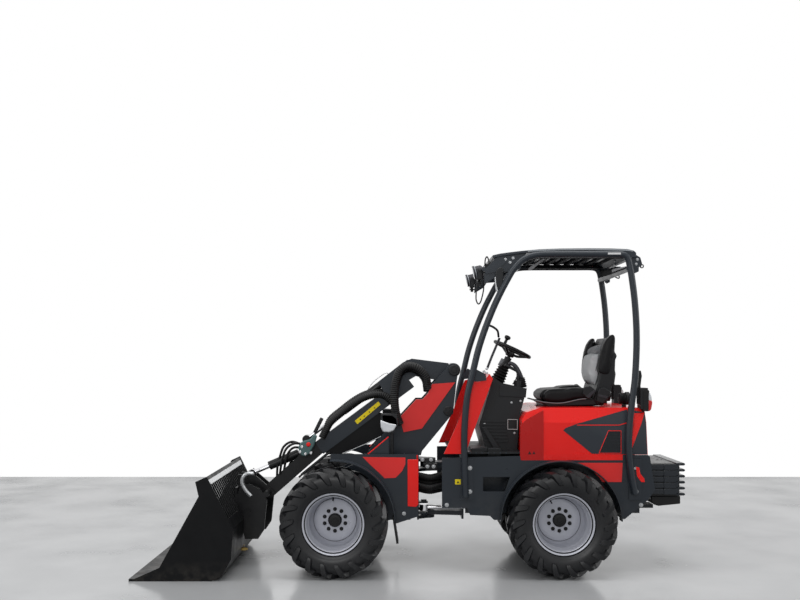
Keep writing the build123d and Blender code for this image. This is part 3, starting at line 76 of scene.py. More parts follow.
@dataclass(frozen=True)
class Photo:
    """Camera of the photograph, level, looking along -Y; lengths in metres."""

    centre: float = 400.0
    horizon: float = 360.0
    focal: float = 934.0
    distance: float = 6.85
    height: float = 1.47
    shift: float = 0.10029
    width: float = 800.0
    rows: float = 600.0

    def spot(self, column: float, row: float, y: float) -> Flat:
        """Gives the place seen at a pixel on a plane of constant Y.

        Args:
            column: Pixel column in the 800 by 600 photograph.
            row: Pixel row.
            y: The plane's Y in metres.

        Returns:
            X and Z in metres in the machine's frame.
        """
        scale = (self.distance - y) / self.focal
        return (self.centre - column) * scale + self.shift, self.height - (row - self.horizon) * scale

    def trace(self, places: Iterable[Flat], y: float) -> list[Flat]:
        """Turns a run of pixel places into X and Z pairs on one plane.

        Args:
            places: Column and row pairs.
            y: The plane's Y in metres.

        Returns:
            X and Z pairs in metres.
        """
        return [self.spot(column, row, y) for column, row in places]

    def route(self, places: Iterable[tuple[float, float, float]]) -> list[Point]:
        """Turns column, row and Y triples into points in space.

        Args:
            places: Column, row and Y of each point.

        Returns:
            Points in metres.
        """
        points = []
        for column, row, y in places:
            x, z = self.spot(column, row, y)
            points.append((x, y, z))
        return points


PHOTO = Photo()


def set_inputs(tree: bpy.types.NodeTree, node: bpy.types.Node, inputs: dict[str, object]) -> None:
    """Links or sets the named inputs of a node.

    Args:
        tree: The node tree.
        node: The node.
        inputs: A socket to link, or a constant, for each input's name.
    """
    for name, value in inputs.items():
        if isinstance(value, bpy.types.NodeSocket):
            tree.links.new(value, node.inputs[name])
        else:
            node.inputs[name].default_value = value


def add_node(
    tree: bpy.types.NodeTree, kind: str, inputs: dict[str, object], data_type: str = "",
) -> bpy.types.Node:
    """Adds a node to a tree.

    Args:
        tree: The node tree.
        kind: Blender's name for the kind of node.
        inputs: A socket to link, or a constant, for each input's name.
        data_type: What a mix node mixes, if it is one.

    Returns:
        The new node.
    """
    node = tree.nodes.new(kind)
    if data_type:
        node.data_type = data_type
    set_inputs(tree, node, inputs)
    return node


@dataclass(frozen=True)
class Finish:
    """One procedural surface finish."""

    name: str
    colour: tuple[float, float, float]
    second: tuple[float, float, float]
    roughness: float
    metallic: float = 0.0
    coat: float = 0.0
    mottle_scale: float = 6.0
    mottle_amount: float = 0.35
    grain_scale: float = 260.0
    grain_depth: float = 0.04
    rough_spread: float = 0.08
    dust: tuple[float, float, float] = (0.3, 0.27, 0.23)
    dust_amount: float = 0.0
    dust_top: float = 0.5
    specular: float = 0.22

    def material(self) -> bpy.types.Material:
        """Builds the node material once and gives it back.

        Returns:
            The material of this finish.
        """
        title = "look_" + self.name
        known = bpy.data.materials.get(title)
        if known is not None:
            return known
        material = bpy.data.materials.new(title)
        material.use_nodes = True
        material.diffuse_color = (*self.colour, 1.0)
        tree = material.node_tree
        place = tree.nodes.new("ShaderNodeTexCoord").outputs["Object"]
        mottle = add_node(tree, "ShaderNodeTexNoise", {
            "Vector": place, "Scale": self.mottle_scale, "Detail": 5.0, "Roughness": 0.6,
        }).outputs["Fac"]
        share = add_node(tree, "ShaderNodeMapRange", {
            "Value": mottle, "From Min": 0.35, "From Max": 0.7, "To Max": self.mottle_amount,
        })
        blend = add_node(tree, "ShaderNodeMix", {
            "A": (*self.colour, 1.0), "B": (*self.second, 1.0), "Factor": share.outputs["Result"],
        }, "RGBA")
        colour = blend.outputs["Result"]
        if self.dust_amount > 0.0:
            colour = self._dusted(tree, place, colour)
        rough = add_node(tree, "ShaderNodeMapRange", {
            "Value": mottle, "From Min": 0.3, "From Max": 0.7,
            "To Min": max(self.roughness - self.rough_spread, 0.02),
            "To Max": min(self.roughness + self.rough_spread, 1.0),
        })
        grain = add_node(tree, "ShaderNodeTexNoise", {
            "Vector": place, "Scale": self.grain_scale, "Detail": 3.0,
        })
        bump = add_node(tree, "ShaderNodeBump", {
            "Height": grain.outputs["Fac"], "Strength": self.grain_depth, "Distance": 0.002,
        })
        set_inputs(tree, tree.nodes["Principled BSDF"], {
            "Base Color": colour, "Roughness": rough.outputs["Result"], "Normal": bump.outputs["Normal"],
            "Metallic": self.metallic, "Coat Weight": self.coat, "Coat Roughness": 0.08,
            "Specular IOR Level": self.specular,
        })
        return material

    def _dusted(
        self, tree: bpy.types.NodeTree, place: bpy.types.NodeSocket, colour: bpy.types.NodeSocket
    ) -> bpy.types.NodeSocket:
        """Adds dust that thins out with height and gathers in patches.

        Args:
            tree: The material's node tree.
            place: Socket that gives the place in space.
            colour: The clean colour.

        Returns:
            The dusted colour.
        """
        split = add_node(tree, "ShaderNodeSeparateXYZ", {"Vector": place})
        height = add_node(tree, "ShaderNodeMapRange", {
            "Value": split.outputs["Z"], "From Min": 0.0, "From Max": self.dust_top,
            "To Min": self.dust_amount, "To Max": 0.0,
        })
        patches = add_node(tree, "ShaderNodeTexNoise", {"Vector": place, "Scale": 14.0, "Detail": 6.0})
        spread = add_node(tree, "ShaderNodeMapRange", {
            "Value": patches.outputs["Fac"], "From Min": 0.42, "From Max": 0.66,
        })
        amount = tree.nodes.new("ShaderNodeMath")
        amount.operation = "MULTIPLY"
        tree.links.new(height.outputs["Result"], amount.inputs[0])
        tree.links.new(spread.outputs["Result"], amount.inputs[1])
        mix = add_node(tree, "ShaderNodeMix", {
            "A": colour, "B": (*self.dust, 1.0), "Factor": amount.outputs["Value"],
        }, "RGBA")
        return mix.outputs["Result"]


RED = Finish(
    "paint_red", (0.78, 0.0105, 0.0075), (0.68, 0.008, 0.006), 0.26, coat=0.16, grain_depth=0.02,
    mottle_scale=2.5,
)
# Darker red used only as painted shade, on the hood's front facet that turns away from the light.
PAINTED_SHADE_RED = Finish(
    "painted_shade_red", (0.42, 0.006, 0.005), (0.36, 0.0045, 0.004), 0.3, coat=0.1, grain_depth=0.02,
)
PANEL_RED = Finish(
    "paint_panel_red", (0.7, 0.028, 0.026), (0.6, 0.018, 0.017), 0.36, coat=0.12, grain_depth=0.02,
)
ANTHRACITE = Finish(
    "paint_anthracite", (0.019, 0.024, 0.031), (0.013, 0.017, 0.0225), 0.34, coat=0.1, grain_depth=0.05,
    dust_amount=0.12, dust_top=0.6,
)
DECAL_DARK = Finish(
    "film_anthracite", (0.024, 0.029, 0.037), (0.018, 0.023, 0.03), 0.34, coat=0.1, grain_depth=0.02,
)
BLACK = Finish(
    "paint_black", (0.006, 0.0062, 0.0068), (0.01, 0.0102, 0.0108), 0.34, grain_depth=0.07, mottle_scale=18.0,
    coat=0.06, dust_amount=0.1, dust_top=0.35,
)
BUCKET_BLACK = Finish(
    "paint_bucket", (0.0042, 0.0044, 0.005), (0.008, 0.0082, 0.0088), 0.4, grain_depth=0.08, mottle_scale=9.0,
    rough_spread=0.1, specular=0.12, dust_amount=0.1, dust_top=0.14,
)
PLASTIC = Finish(
    "moulded_plastic", (0.0095, 0.0102, 0.0115), (0.014, 0.0148, 0.016), 0.46, grain_scale=700.0,
    grain_depth=0.2,
)
RUBBER = Finish(
    "hose_rubber", (0.006, 0.006, 0.0064), (0.011, 0.011, 0.0115), 0.5, grain_scale=500.0, grain_depth=0.16,
)
TYRE = Finish(
    "tyre_rubber", (0.0064, 0.0068, 0.008), (0.011, 0.0114, 0.0128), 0.34, mottle_scale=16.0,
    mottle_amount=0.5, grain_scale=420.0, grain_depth=0.06, rough_spread=0.07, specular=0.34,
)
RIM = Finish(
    "rim_silver", (0.47, 0.48, 0.53), (0.41, 0.42, 0.47), 0.34, metallic=0.2, coat=0.2, grain_depth=0.05,
    specular=0.35,
)
STEEL = Finish("bright_steel", (0.55, 0.55, 0.56), (0.42, 0.42, 0.43), 0.24, metallic=1.0, mottle_scale=30.0)
CHROME = Finish("rod_chrome", (0.75, 0.75, 0.77), (0.68, 0.68, 0.7), 0.1, metallic=1.0, grain_depth=0.01)
BRASS = Finish("brass_fitting", (0.62, 0.45, 0.16), (0.45, 0.32, 0.1), 0.3, metallic=1.0)
LEATHER = Finish(
    "seat_leather", (0.007, 0.0071, 0.0078), (0.011, 0.011, 0.0118), 0.42, grain_scale=320.0, grain_depth=0.3,
    specular=0.12,
)
SEAT_PALE = Finish(
    "seat_pale", (0.5, 0.51, 0.52), (0.42, 0.43, 0.44), 0.6, grain_scale=420.0, grain_depth=0.35,
    mottle_scale=24.0,
)
SEAT_GREY = Finish(
    "seat_grey", (0.19, 0.195, 0.205), (0.135, 0.14, 0.15), 0.62, grain_scale=420.0, grain_depth=0.45,
    mottle_scale=24.0,
)
YELLOW = Finish("label_yellow", (0.78, 0.6, 0.008), (0.68, 0.52, 0.008), 0.38, grain_depth=0.01, coat=0.1)
WHITE_LABEL = Finish("label_pale", (0.62, 0.62, 0.62), (0.54, 0.54, 0.54), 0.42, grain_depth=0.01)
LENS = Finish(
    "lamp_lens", (0.6, 0.62, 0.64), (0.44, 0.46, 0.49), 0.1, coat=1.0, grain_scale=90.0, grain_depth=0.25,
    specular=0.5,
)
RED_LENS = Finish(
    "lamp_red", (0.55, 0.008, 0.008), (0.4, 0.005, 0.005), 0.16, coat=0.4, grain_scale=120.0, grain_depth=0.2,
)
GREEN_GREY = Finish("coupler_paint", (0.075, 0.135, 0.135), (0.05, 0.095, 0.096), 0.36, coat=0.15)
GALVANISED = Finish(
    "galvanised", (0.42, 0.43, 0.44), (0.3, 0.31, 0.32), 0.36, metallic=0.8, mottle_scale=60.0,
    mottle_amount=0.8,
)
LIGHT_GREY = Finish("paint_light_grey", (0.5, 0.5, 0.51), (0.42, 0.42, 0.43), 0.45)
UNDERSIDE = Finish("roof_underside", (0.01, 0.011, 0.013), (0.007, 0.008, 0.009), 0.75, specular=0.04)
WHEEL_BLACK = Finish("wheel_grip", (0.0065, 0.0066, 0.0072), (0.0105, 0.0106, 0.0112), 0.4, grain_depth=0.1)
# Pale grey that paints the reflection on the bucket's glossy top flange.
LIP_PAINTED_REFLECTION = Finish(
    "lip_painted_reflection", (0.62, 0.63, 0.64), (0.5, 0.51, 0.52), 0.3, coat=0.3, grain_scale=60.0, mottle_scale=14.0,
)
# Pale grey: a painted highlight on the roof's lit side edge; also used for the front lamp rings.
PALE_TRIM_AND_HIGHLIGHT = Finish("pale_trim_and_painted_highlight", (0.3, 0.32, 0.34), (0.22, 0.235, 0.25), 0.3, coat=0.2)
LAMP_BLACK = Finish(
    "lamp_housing", (0.03, 0.03, 0.036), (0.022, 0.022, 0.027), 0.4, grain_scale=500.0, grain_depth=0.2,
)
CAST = Finish(
    "cast_weight", (0.013, 0.0165, 0.0215), (0.022, 0.026, 0.032), 0.3, grain_scale=180.0, grain_depth=0.3,
    coat=0.2,
)
FLOOR = Finish(
    "stage_floor", (0.4, 0.405, 0.41), (0.33, 0.335, 0.34), 0.2, mottle_scale=1.3, mottle_amount=0.8,
    grain_depth=0.02, grain_scale=30.0, rough_spread=0.1, specular=0.4,
)


def smooth_run(points: Sequence[Point], steps: int) -> list[Vector]:
    """Threads a smooth curve through points.

    Args:
        points: Points that the curve passes through.
        steps: Samples between each two points.

    Returns:
        Points along the curve.
    """
    knots = [Vector(point) for point in points]
    knots = [knots[0] * 2 - knots[1]] + knots + [knots[-1] * 2 - knots[-2]]
    run = []
    for index in range(1, len(knots) - 2):
        before, start, end, after = knots[index - 1 : index + 3]
        square = 2 * before - 5 * start + 4 * end - after
        cube = 3 * start - before - 3 * end + after
        for step in range(steps):
            t = step / steps
            run.append(0.5 * (2 * start + (end - before) * t + square * t * t + cube * t * t * t))
    run.append(knots[-2])
    return run


class Draft:
    """A mesh under construction, in metres, in the machine's frame."""

    def __init__(self) -> None:
        self.mesh = bmesh.new()

    def face_loop(self, rings: Sequence[Sequence[bmesh.types.BMVert]]) -> None:
        """Skins consecutive closed rings of equal length with quads.

        Args:
            rings: Rings of vertices.
        """
        for first, second in zip(rings, rings[1:]):
            for index in range(len(first)):
                follow = (index + 1) % len(first)
                corners = [first[index], first[follow], second[follow], second[index]]
                if len(set(corners)) == 4:
                    self.mesh.faces.new(corners)

    def closed_skin(self, rings: Sequence[Sequence[bmesh.types.BMVert]]) -> None:
        """Skins closed rings and caps both ends.

        Args:
            rings: Rings of vertices.
        """
        self.face_loop(rings)
        self.mesh.faces.new(rings[0][::-1])
        self.mesh.faces.new(rings[-1])

    def prism(self, outline: Sequence[Flat], y_from: float, y_to: float) -> "Draft":
        """Adds a plate with an XZ outline between two Y planes.

        Args:
            outline: X and Z pairs in order.
            y_from: First plane.
            y_to: Second plane.

        Returns:
            This draft.
        """
        near = [self.mesh.verts.new((x, y_from, z)) for x, z in outline]
        far = [self.mesh.verts.new((x, y_to, z)) for x, z in outline]
        self.mesh.faces.new(near)
        self.mesh.faces.new(far[::-1])
        self.face_loop([near, far])
        return self

    def plate(self, places: Sequence[Flat], read: float, y_from: float, y_to: float) -> "Draft":
        """Adds a plate whose outline is traced on the photograph.

        Args:
            places: Column and row pairs of its outline.
            read: Y of the plane on which they are read.
            y_from: First plane of the plate.
            y_to: Second plane.

        Returns:
            This draft.
        """
        return self.prism(PHOTO.trace(places, read), y_from, y_to)

    def film(self, places: Sequence[Flat], y: float, height: float) -> "Draft":
        """Adds a thin traced plate on a side face, sunk a little into it.

        Args:
            places: Column and row pairs of its outline.
            y: The face's Y.
            height: How far it stands out.

        Returns:
            This draft.
        """
        return self.plate(places, y, y - SINK, y + height)

    def box(self, low: Point, high: Point) -> "Draft":
        """Adds an axis-aligned box.

        Args:
            low: Lowest corner.
            high: Highest corner.

        Returns:
            This draft.
        """
        outline = [(low[0], low[2]), (high[0], low[2]), (high[0], high[2]), (low[0], high[2])]
        return self.prism(outline, low[1], high[1])

    def slab(self, centre: Point, size: Point, turn: Matrix) -> "Draft":
        """Adds a turned box.

        Args:
            centre: Its centre.
            size: Its three lengths.
            turn: Rotation matrix of its axes.

        Returns:
            This draft.
        """
        matrix = Matrix.Translation(centre) @ turn.to_4x4() @ Matrix.Diagonal((*size, 1.0))
        bmesh.ops.create_cube(self.mesh, size=1.0, matrix=matrix)
        return self

    def spun(self, profile: Sequence[Flat], origin: Point, axis: Point, steps: int = 48) -> "Draft":
        """Adds a turned shape.

        Args:
            profile: Radius and place along the axis of each point; radius 0 closes the shape.
            origin: Where the axis starts.
            axis: Its direction.
            steps: Facets round the axis.

        Returns:
            This draft.
        """
        turn = Vector((0, 0, 1)).rotation_difference(Vector(axis)).to_matrix()
        rings = []
        for radius, along in profile:
            if radius <= 1e-7:
                tip = self.mesh.verts.new(Vector(origin) + turn @ Vector((0, 0, along)))
                rings.append([tip] * steps)
                continue
            ring = []
            for index in range(steps):
                angle = 2 * math.pi * index / steps
                place = turn @ Vector((radius * math.cos(angle), radius * math.sin(angle), along))
                ring.append(self.mesh.verts.new(Vector(origin) + place))
            rings.append(ring)
        for first, second in zip(rings, rings[1:]):
            for index in range(steps):
                follow = (index + 1) % steps
                corners = []
                for vert in (first[index], first[follow], second[follow], second[index]):
                    if vert not in corners:
                        corners.append(vert)
                if len(corners) >= 3:
                    self.mesh.faces.new(corners)
        return self

    def rod(self, start: Point, end: Point, radius: float, steps: int = 20, chamfer: float = 0.0) -> "Draft":
        """Adds a closed round bar.

        Args:
            start: Its first end.
            end: Its other end.
            radius: Its radius.
            steps: Facets round it.
            chamfer: Chamfer on both ends.

        Returns:
            This draft.
        """
        axis = Vector(end) - Vector(start)
        length = axis.length
        profile = [
            (0.0, 0.0), (radius - chamfer, 0.0), (radius, chamfer), (radius, length - chamfer),
            (radius - chamfer, length), (0.0, length),
        ]
        if chamfer == 0.0:
            profile = [(0.0, 0.0), (radius, 0.0), (radius, length), (0.0, length)]
        return self.spun(profile, start, tuple(axis.normalized()), steps)

    def bar(
        self, places: Sequence[Flat], y: float, radius: float, steps: int = 20, chamfer: float = 0.0
    ) -> "Draft":
        """Adds a round bar between two traced places on one plane.

        Args:
            places: Column and row of both ends.
            y: The plane's Y.
            radius: Its radius.
            steps: Facets round it.
            chamfer: Chamfer on both ends.

        Returns:
            This draft.
        """
        (x_from, z_from), (x_to, z_to) = PHOTO.trace(places, y)
        return self.rod((x_from, y, z_from), (x_to, y, z_to), radius, steps, chamfer)

    def pegs(
        self, places: Sequence[Flat], read: float, y_from: float, y_to: float, radius: float, steps: int,
        chamfer: float = 0.0,
    ) -> "Draft":
        """Adds round bars that run across the machine.

        Args:
            places: Column and row of each.
            read: Y of the plane on which they are read.
            y_from: Y of their first end.
            y_to: Y of their other end.
            radius: Their radius.
            steps: Facets round them.
            chamfer: Chamfer on both ends.

        Returns:
            This draft.
        """
        for x, z in PHOTO.trace(places, read):
            self.rod((x, y_from, z), (x, y_to, z), radius, steps, chamfer)
        return self

    def edging(self, outline: Sequence[Flat], y: float, radius: float, steps: int) -> "Draft":
        """Adds a round bar along every side of an outline.

        Args:
            outline: X and Z pairs in order.
            y: The bars' Y.
            radius: Their radius.
            steps: Facets round them.

        Returns:
            This draft.
        """
        for start, end in zip(outline, outline[1:] + outline[:1]):
            self.rod((start[0], y, start[1]), (end[0], y, end[1]), radius, steps)
        return self

    def bolts(self, places: Sequence[Flat], y: float, size: float, sunk: float = 0.0) -> "Draft":
        """Adds hexagonal bolt heads on washers along a side face.

        Args:
            places: Column and row of each.
            y: The face's Y.
            size: Half their width across corners.
            sunk: How deep their seats lie in the face.

        Returns:
            This draft.
        """
        washer, rim = size * 1.5, size * 0.25
        head = [(0.0, 0.0), (size, 0.0), (size, size * 0.8), (size * 0.8, size), (0.0, size)]
        for x, z in PHOTO.trace(places, y):
            self.spun([(0.0, 0.0), (washer, 0.0), (washer, rim), (0.0, rim)], (x, y - sunk, z), ACROSS, 20)
            self.spun(head, (x, y - sunk + rim, z), ACROSS, 6)
        return self

    def tube(
        self, points: Sequence[Vector | Point], radii: float | Sequence[float], steps: int = 12
    ) -> "Draft":
        """Adds a tube along points, turning as little as it can.

        Args:
            points: Points along its middle.
            radii: Its radius, or one at each point.
            steps: Facets round it.

        Returns:
            This draft.
        """
        run = [Vector(point) for point in points]
        if not isinstance(radii, (list, tuple)):
            radii = [radii] * len(run)
        ahead = [(run[min(i + 1, len(run) - 1)] - run[max(i - 1, 0)]).normalized() for i in range(len(run))]
        side = ahead[0].orthogonal().normalized()
        rings = []
        for index, (place, radius) in enumerate(zip(run, radii)):
            side = (side - ahead[index] * side.dot(ahead[index])).normalized()
            up = ahead[index].cross(side)
            ring = []
            for step in range(steps):
                angle = 2 * math.pi * step / steps
                arm = side * math.cos(angle) + up * math.sin(angle)
                ring.append(self.mesh.verts.new(place + arm * radius))
            rings.append(ring)
        self.closed_skin(rings)
        return self

    def curve(
        self, places: Sequence[Point], steps: int, radii: float | Sequence[float], sides: int = 12
    ) -> "Draft":
        """Adds a smooth tube along a route traced on the photograph.

        Args:
            places: Column, row and Y of the points it passes through.
            steps: Samples between each two of them.
            radii: Its radius, or one at each sample.
            sides: Facets round it.

        Returns:
            This draft.
        """
        return self.tube(smooth_run(PHOTO.route(places), steps), radii, sides)

    def mirrored(self) -> "Draft":
        """Adds a copy of everything on the other side of the machine.

        Returns:
            This draft.
        """
        copy = bmesh.ops.duplicate(
            self.mesh, geom=self.mesh.verts[:] + self.mesh.edges[:] + self.mesh.faces[:],
        )
        verts = [item for item in copy["geom"] if isinstance(item, bmesh.types.BMVert)]
        faces = [item for item in copy["geom"] if isinstance(item, bmesh.types.BMFace)]
        for vert in verts:
            vert.co.y = -vert.co.y
        bmesh.ops.reverse_faces(self.mesh, faces=faces)
        return self

    def piece(
        self, name: str, finish: Finish, body: Body = Body.REAR, bevel: float = 0.0, smooth: float = 35.0
    ) -> bpy.types.Object:
        """Turns the draft into a named piece that rides on a body.

        Args:
            name: The piece's name.
            finish: Its finish.
            body: The body that carries it, the rear frame unless another is given.
            bevel: Width of its rounded edges; 0 leaves them sharp.
            smooth: Angle in degrees under which faces shade as one.

        Returns:
            The new object.
        """
        bmesh.ops.recalc_face_normals(self.mesh, faces=self.mesh.faces[:])
        data = bpy.data.meshes.new(name)
        self.mesh.to_mesh(data)
        self.mesh.free()
        data.materials.append(finish.material())
        data.shade_smooth()
        data.set_sharp_from_angle(angle=math.radians(smooth))
        obj = bpy.data.objects.new(name, data)
        bpy.context.scene.collection.objects.link(obj)
        if bevel > 0.0:
            soften(obj, bevel)
        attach(obj, body.value)
        return obj


def soften(obj: bpy.types.Object, width: float) -> None:
    """Rounds the sharp edges of an object with a modifier.

    Args:
        obj: The object.
        width: Width of the rounding in metres.
    """
    bevel = obj.modifiers.new("rounded_edges", "BEVEL")
    bevel.width = width
    bevel.segments = 2
    bevel.limit_method = "ANGLE"
    bevel.angle_limit = math.radians(35)
    bevel.harden_normals = False
    bevel.use_clamp_overlap = True


@dataclass
class Skins:
    """Finishes of the CAD nodes that stay in view."""

    nodes: dict[str, bpy.types.Object]
    finishes: dict[str, Finish] = field(default_factory=lambda: {
        "rear_frame": ANTHRACITE, "rear_axle": BLACK, "engine_block": CAST, "engine_hood": RED,
        "floor_plate": PLASTIC, "dash_console": PLASTIC, "dash_cowl": RED, "steering_column": PLASTIC,
        "joystick": PLASTIC, "seat_base": PLASTIC, "rollover_frame": ANTHRACITE, "canopy": ANTHRACITE,
        "lamp_bar": ANTHRACITE, "work_lamp_left": PLASTIC, "work_lamp_right": PLASTIC, "rear_weight": CAST,
        "tail_lamp_left": PLASTIC, "tail_lamp_right": PLASTIC, "drawbar": ANTHRACITE,
        "rear_fender_left": ANTHRACITE, "rear_fender_right": ANTHRACITE, "front_frame": ANTHRACITE,
        "front_axle": BLACK, "front_side_left": ANTHRACITE, "front_side_right": ANTHRACITE,
        "column_cover_left": RED, "column_cover_right": RED, "tower_panel_left": PANEL_RED,
        "tower_panel_right": PANEL_RED, "headlamp_left": PLASTIC, "headlamp_right": PLASTIC,
        "boom_outer": ANTHRACITE, "boom_inner": BLACK, "telescope_barrel": BLACK, "telescope_rod": CHROME,
        "multi_coupler": GREEN_GREY, "coupler": BLACK, "bucket": BUCKET_BLACK, "lift_barrel": BLACK,
        "lift_rod": CHROME, "tilt_barrel": BLACK, "tilt_rod": CHROME, "steer_barrel": BLACK,
        "steer_rod": CHROME, "steering_wheel": PLASTIC, "seat_cushion": LEATHER, "seat_back": LEATHER,
        "front_left_tyre": TYRE, "front_right_tyre": TYRE, "rear_left_tyre": TYRE, "rear_right_tyre": TYRE,
        "front_left_rim": RIM, "front_right_rim": RIM, "rear_left_rim": RIM, "rear_right_rim": RIM,
    })
    rounded: dict[str, float] = field(default_factory=lambda: {
        "engine_hood": 0.012, "dash_console": 0.01, "dash_cowl": 0.003, "boom_outer": 0.003,
        "rear_frame": 0.002, "canopy": 0.008, "column_cover_left": 0.006, "column_cover_right": 0.006,
        "seat_base": 0.003, "rear_weight": 0.003, "tail_lamp_left": 0.006, "tail_lamp_right": 0.006,
        "headlamp_left": 0.008, "headlamp_right": 0.008, "front_side_left": 0.002, "front_side_right": 0.002,
        "tower_panel_left": 0.002, "tower_panel_right": 0.002, "bucket": 0.002, "coupler": 0.003,
        "multi_coupler": 0.006,
    })

    def build(self) -> None:
        """Gives every CAD node its finish and softened edges."""
        for name, obj in self.nodes.items():
            finish = self.finishes.get(name)
            if finish is None:
                LOG.warning("no finish for %s", name)
                continue
            if not obj.material_slots:
                obj.data.materials.append(finish.material())
            for entry in obj.material_slots:
                entry.material = finish.material()
            if name in self.rounded:
                soften(obj, self.rounded[name])
        LOG.info("finished %d CAD nodes", len(self.nodes))


